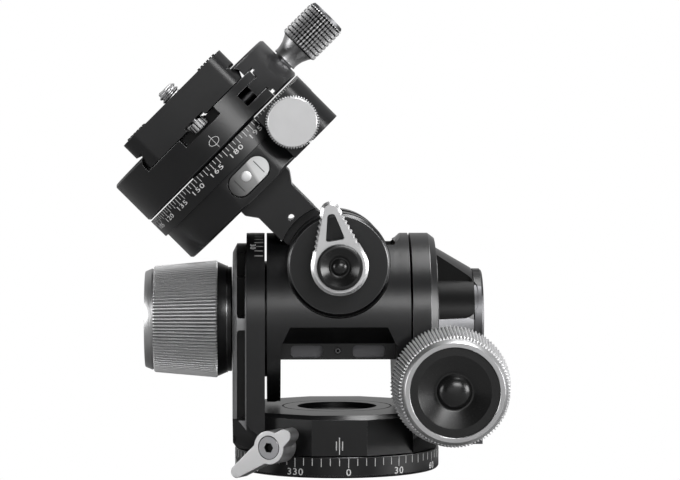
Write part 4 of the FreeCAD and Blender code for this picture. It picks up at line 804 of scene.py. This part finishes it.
# Near black laid below the clamp knob's crests: painted shade.
clamp_groove_painted_shade = metal("clamp_groove_painted_shade", (0.02, 0.02, 0.02), (0.035, 0.035, 0.035), (0.4, 0.5), 1.0, 0.006)
knob_steel = metal("knob_steel", (0.40, 0.40, 0.405), (0.48, 0.48, 0.485), (0.34, 0.44), 1.0, 0.006)
ribs = rib_mesh("deck_lock_ribs", 60, [(7.0, 7.0, 30.8), (7.5, 7.25, 31.1), (7.6, 7.3, 31.3),
                                       (7.6, 7.3, 35.3), (7.4, 7.1, 35.55), (6.95, 6.95, 35.6)],
                knob_steel, knob_place, "deck_lock_knob")
turned_piece("deck_lock_disc", [(0, 30.8), (7.0, 30.8)], [knob_steel], knob_place,
             "deck_lock_knob", steps=64)
turned_piece("deck_lock_face", [(6.95, 35.6), (6.85, 35.7), (0, 35.7)], [lever_silver], knob_place,
             "deck_lock_knob", steps=64)
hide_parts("deck_lock_knob")

# Clamp: the fixed body and the moving jaw grip the plate's dovetail; a knurled screw knob closes
# the jaw. A ring with a line through it is the clamp's index on the scale.
edged_copy("clamp_body", width=0.15)
edged_copy("clamp_jaw", width=0.25)
clamp_rim = 30.4
ring_proud = 0.03
ring_height = 50.35
shape = bmesh.new()
scale_mark(shape, clamp_rim, 0, low=48.1, high=52.6, width=0.14)
turn = bmesh.ops.create_circle(shape, segments=48, radius=1 * mm)["verts"]
hole = bmesh.ops.create_circle(shape, segments=48, radius=1 * mm)["verts"]
bmesh.ops.bridge_loops(shape, edges=edges_at(turn + hole))
bmesh.ops.scale(shape, vec=(1.7, 1.15, 1), verts=turn)
bmesh.ops.scale(shape, vec=(1.55, 1.0, 1), verts=hole)
bmesh.ops.rotate(shape, matrix=Matrix.Rotation(math.radians(90), 3, "X"), verts=turn + hole)
bmesh.ops.translate(shape, vec=(0, -(clamp_rim + ring_proud) * mm, ring_height * mm), verts=turn + hole)
engraving(shape, "clamp_index", "clamp_body", leaned)
clamp_screw_height = 52.7
clamp_place = leaned @ at(0, 0, clamp_screw_height) @ turned(90, "Y")
first_land, land_pitch, land_width, groove_end = 37.0, 1.36, 0.9, 1.13
rings = [(5.2, 5.2, 36.4), (5.8, 5.6, 36.7)]
for groove in range(8):
    start = first_land + groove * land_pitch
    rings += [(6.2, 5.7, start), (6.2, 5.7, start + land_width), (5.65, 5.5, start + groove_end)]
rings += [(6.2, 5.8, 47.95), (5.9, 5.8, 48.2)]
groove_radius = 5.8
ribs = rib_mesh("clamp_knob_ribs", 36, rings, lever_silver, clamp_place, "clamp_knob")


def in_groove(middle, normal):
    """Faces of the knurling that lie below its crests, to be painted near black as shade."""
    return (clamp_place.inverted() @ (middle * mm)).xy.length < groove_radius * mm


# Painted shade: the knurling's grooves in near black.
finish_faces(ribs, clamp_groove_painted_shade, in_groove)
turned_piece("clamp_knob_neck", [(0, 30.8), (3.7, 30.8), (3.85, 31.0), (3.75, 31.6), (3.85, 32.8),
                                 (4.2, 34.2), (5.0, 35.9), (5.3, 36.35), (5.0, 36.45)],
             [knob_steel], clamp_place, "clamp_knob", steps=64)
turned_piece("clamp_knob_cap", [(5.9, 48.2), (5.75, 48.7), (5.45, 49.15), (4.9, 49.2), (0, 49.2)],
             [grey_cap_and_painted_sheen], clamp_place, "clamp_knob", steps=64)
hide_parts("clamp_knob")

# Camera plate: black dovetail plate with two ridged rubber strips, stop screws underneath and a
# quarter-inch camera screw.
edged_copy("camera_plate", width=0.25)
ridged_rubber = metal("ridged_rubber", (0.010, 0.010, 0.010), (0.018, 0.018, 0.018), (0.6, 0.75), 0.0, 0.03)
plain_finish(ridged_rubber, "plate_pads")
stop_silver = metal("stop_silver", (0.80, 0.80, 0.805), (0.88, 0.88, 0.885), (0.5, 0.6), 0.25, 0.006)
stop_y = 19.88
for end, side in (("front", -1), ("rear", 1)):
    stop_place = leaned @ at(0, side * stop_y, 0)
    rib_mesh("stop_%s_ribs" % end, 12, [(1.4, 1.4, 58.25), (2.4, 2.4, 58.2), (2.65, 2.55, 57.95),
                                        (2.65, 2.55, 55.75), (2.35, 2.35, 55.45), (0.4, 0.4, 55.4)],
             stop_silver, stop_place, "plate_stops")
    stop = turned_piece("stop_%s_shank" % end, [(0, 62.8), (1.4, 62.8), (1.4, 58.2)], [turned_steel],
                        stop_place, "plate_stops", steps=24)
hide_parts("plate_stops")


def thread_strip(shape, inner, outer, pitch, start, turns):
    """V thread about local Z, swept along its helix from a height."""
    steps = 48
    flanks = [(inner, -0.5), (outer, -0.08), (outer, 0.08), (inner, 0.5)]
    profile = half_section(shape, [(radius, start + offset * pitch) for radius, offset in flanks])
    bmesh.ops.spin(shape, geom=profile, cent=(0, 0, 0), axis=(0, 0, 1), dvec=(0, 0, pitch / steps * mm),
                   angle=math.tau * turns, steps=int(steps * turns))


shape = bmesh.new()
thread_strip(shape, inner=2.5, outer=3.175, pitch=1.27, start=68.1, turns=2.4)
piece_from(shape, "camera_screw_thread", bright_rim, leaned, "camera_screw")
core = turned_piece("camera_screw_core", [(0, 71.55), (2.3, 71.55), (2.6, 71.3), (2.6, 61.8), (6.1, 61.8),
                                          (6.2, 61.7), (6.2, 58.9), (6.1, 58.8), (0, 58.8)],
                    [clear_silver], leaned, "camera_screw", steps=64)
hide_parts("camera_screw")
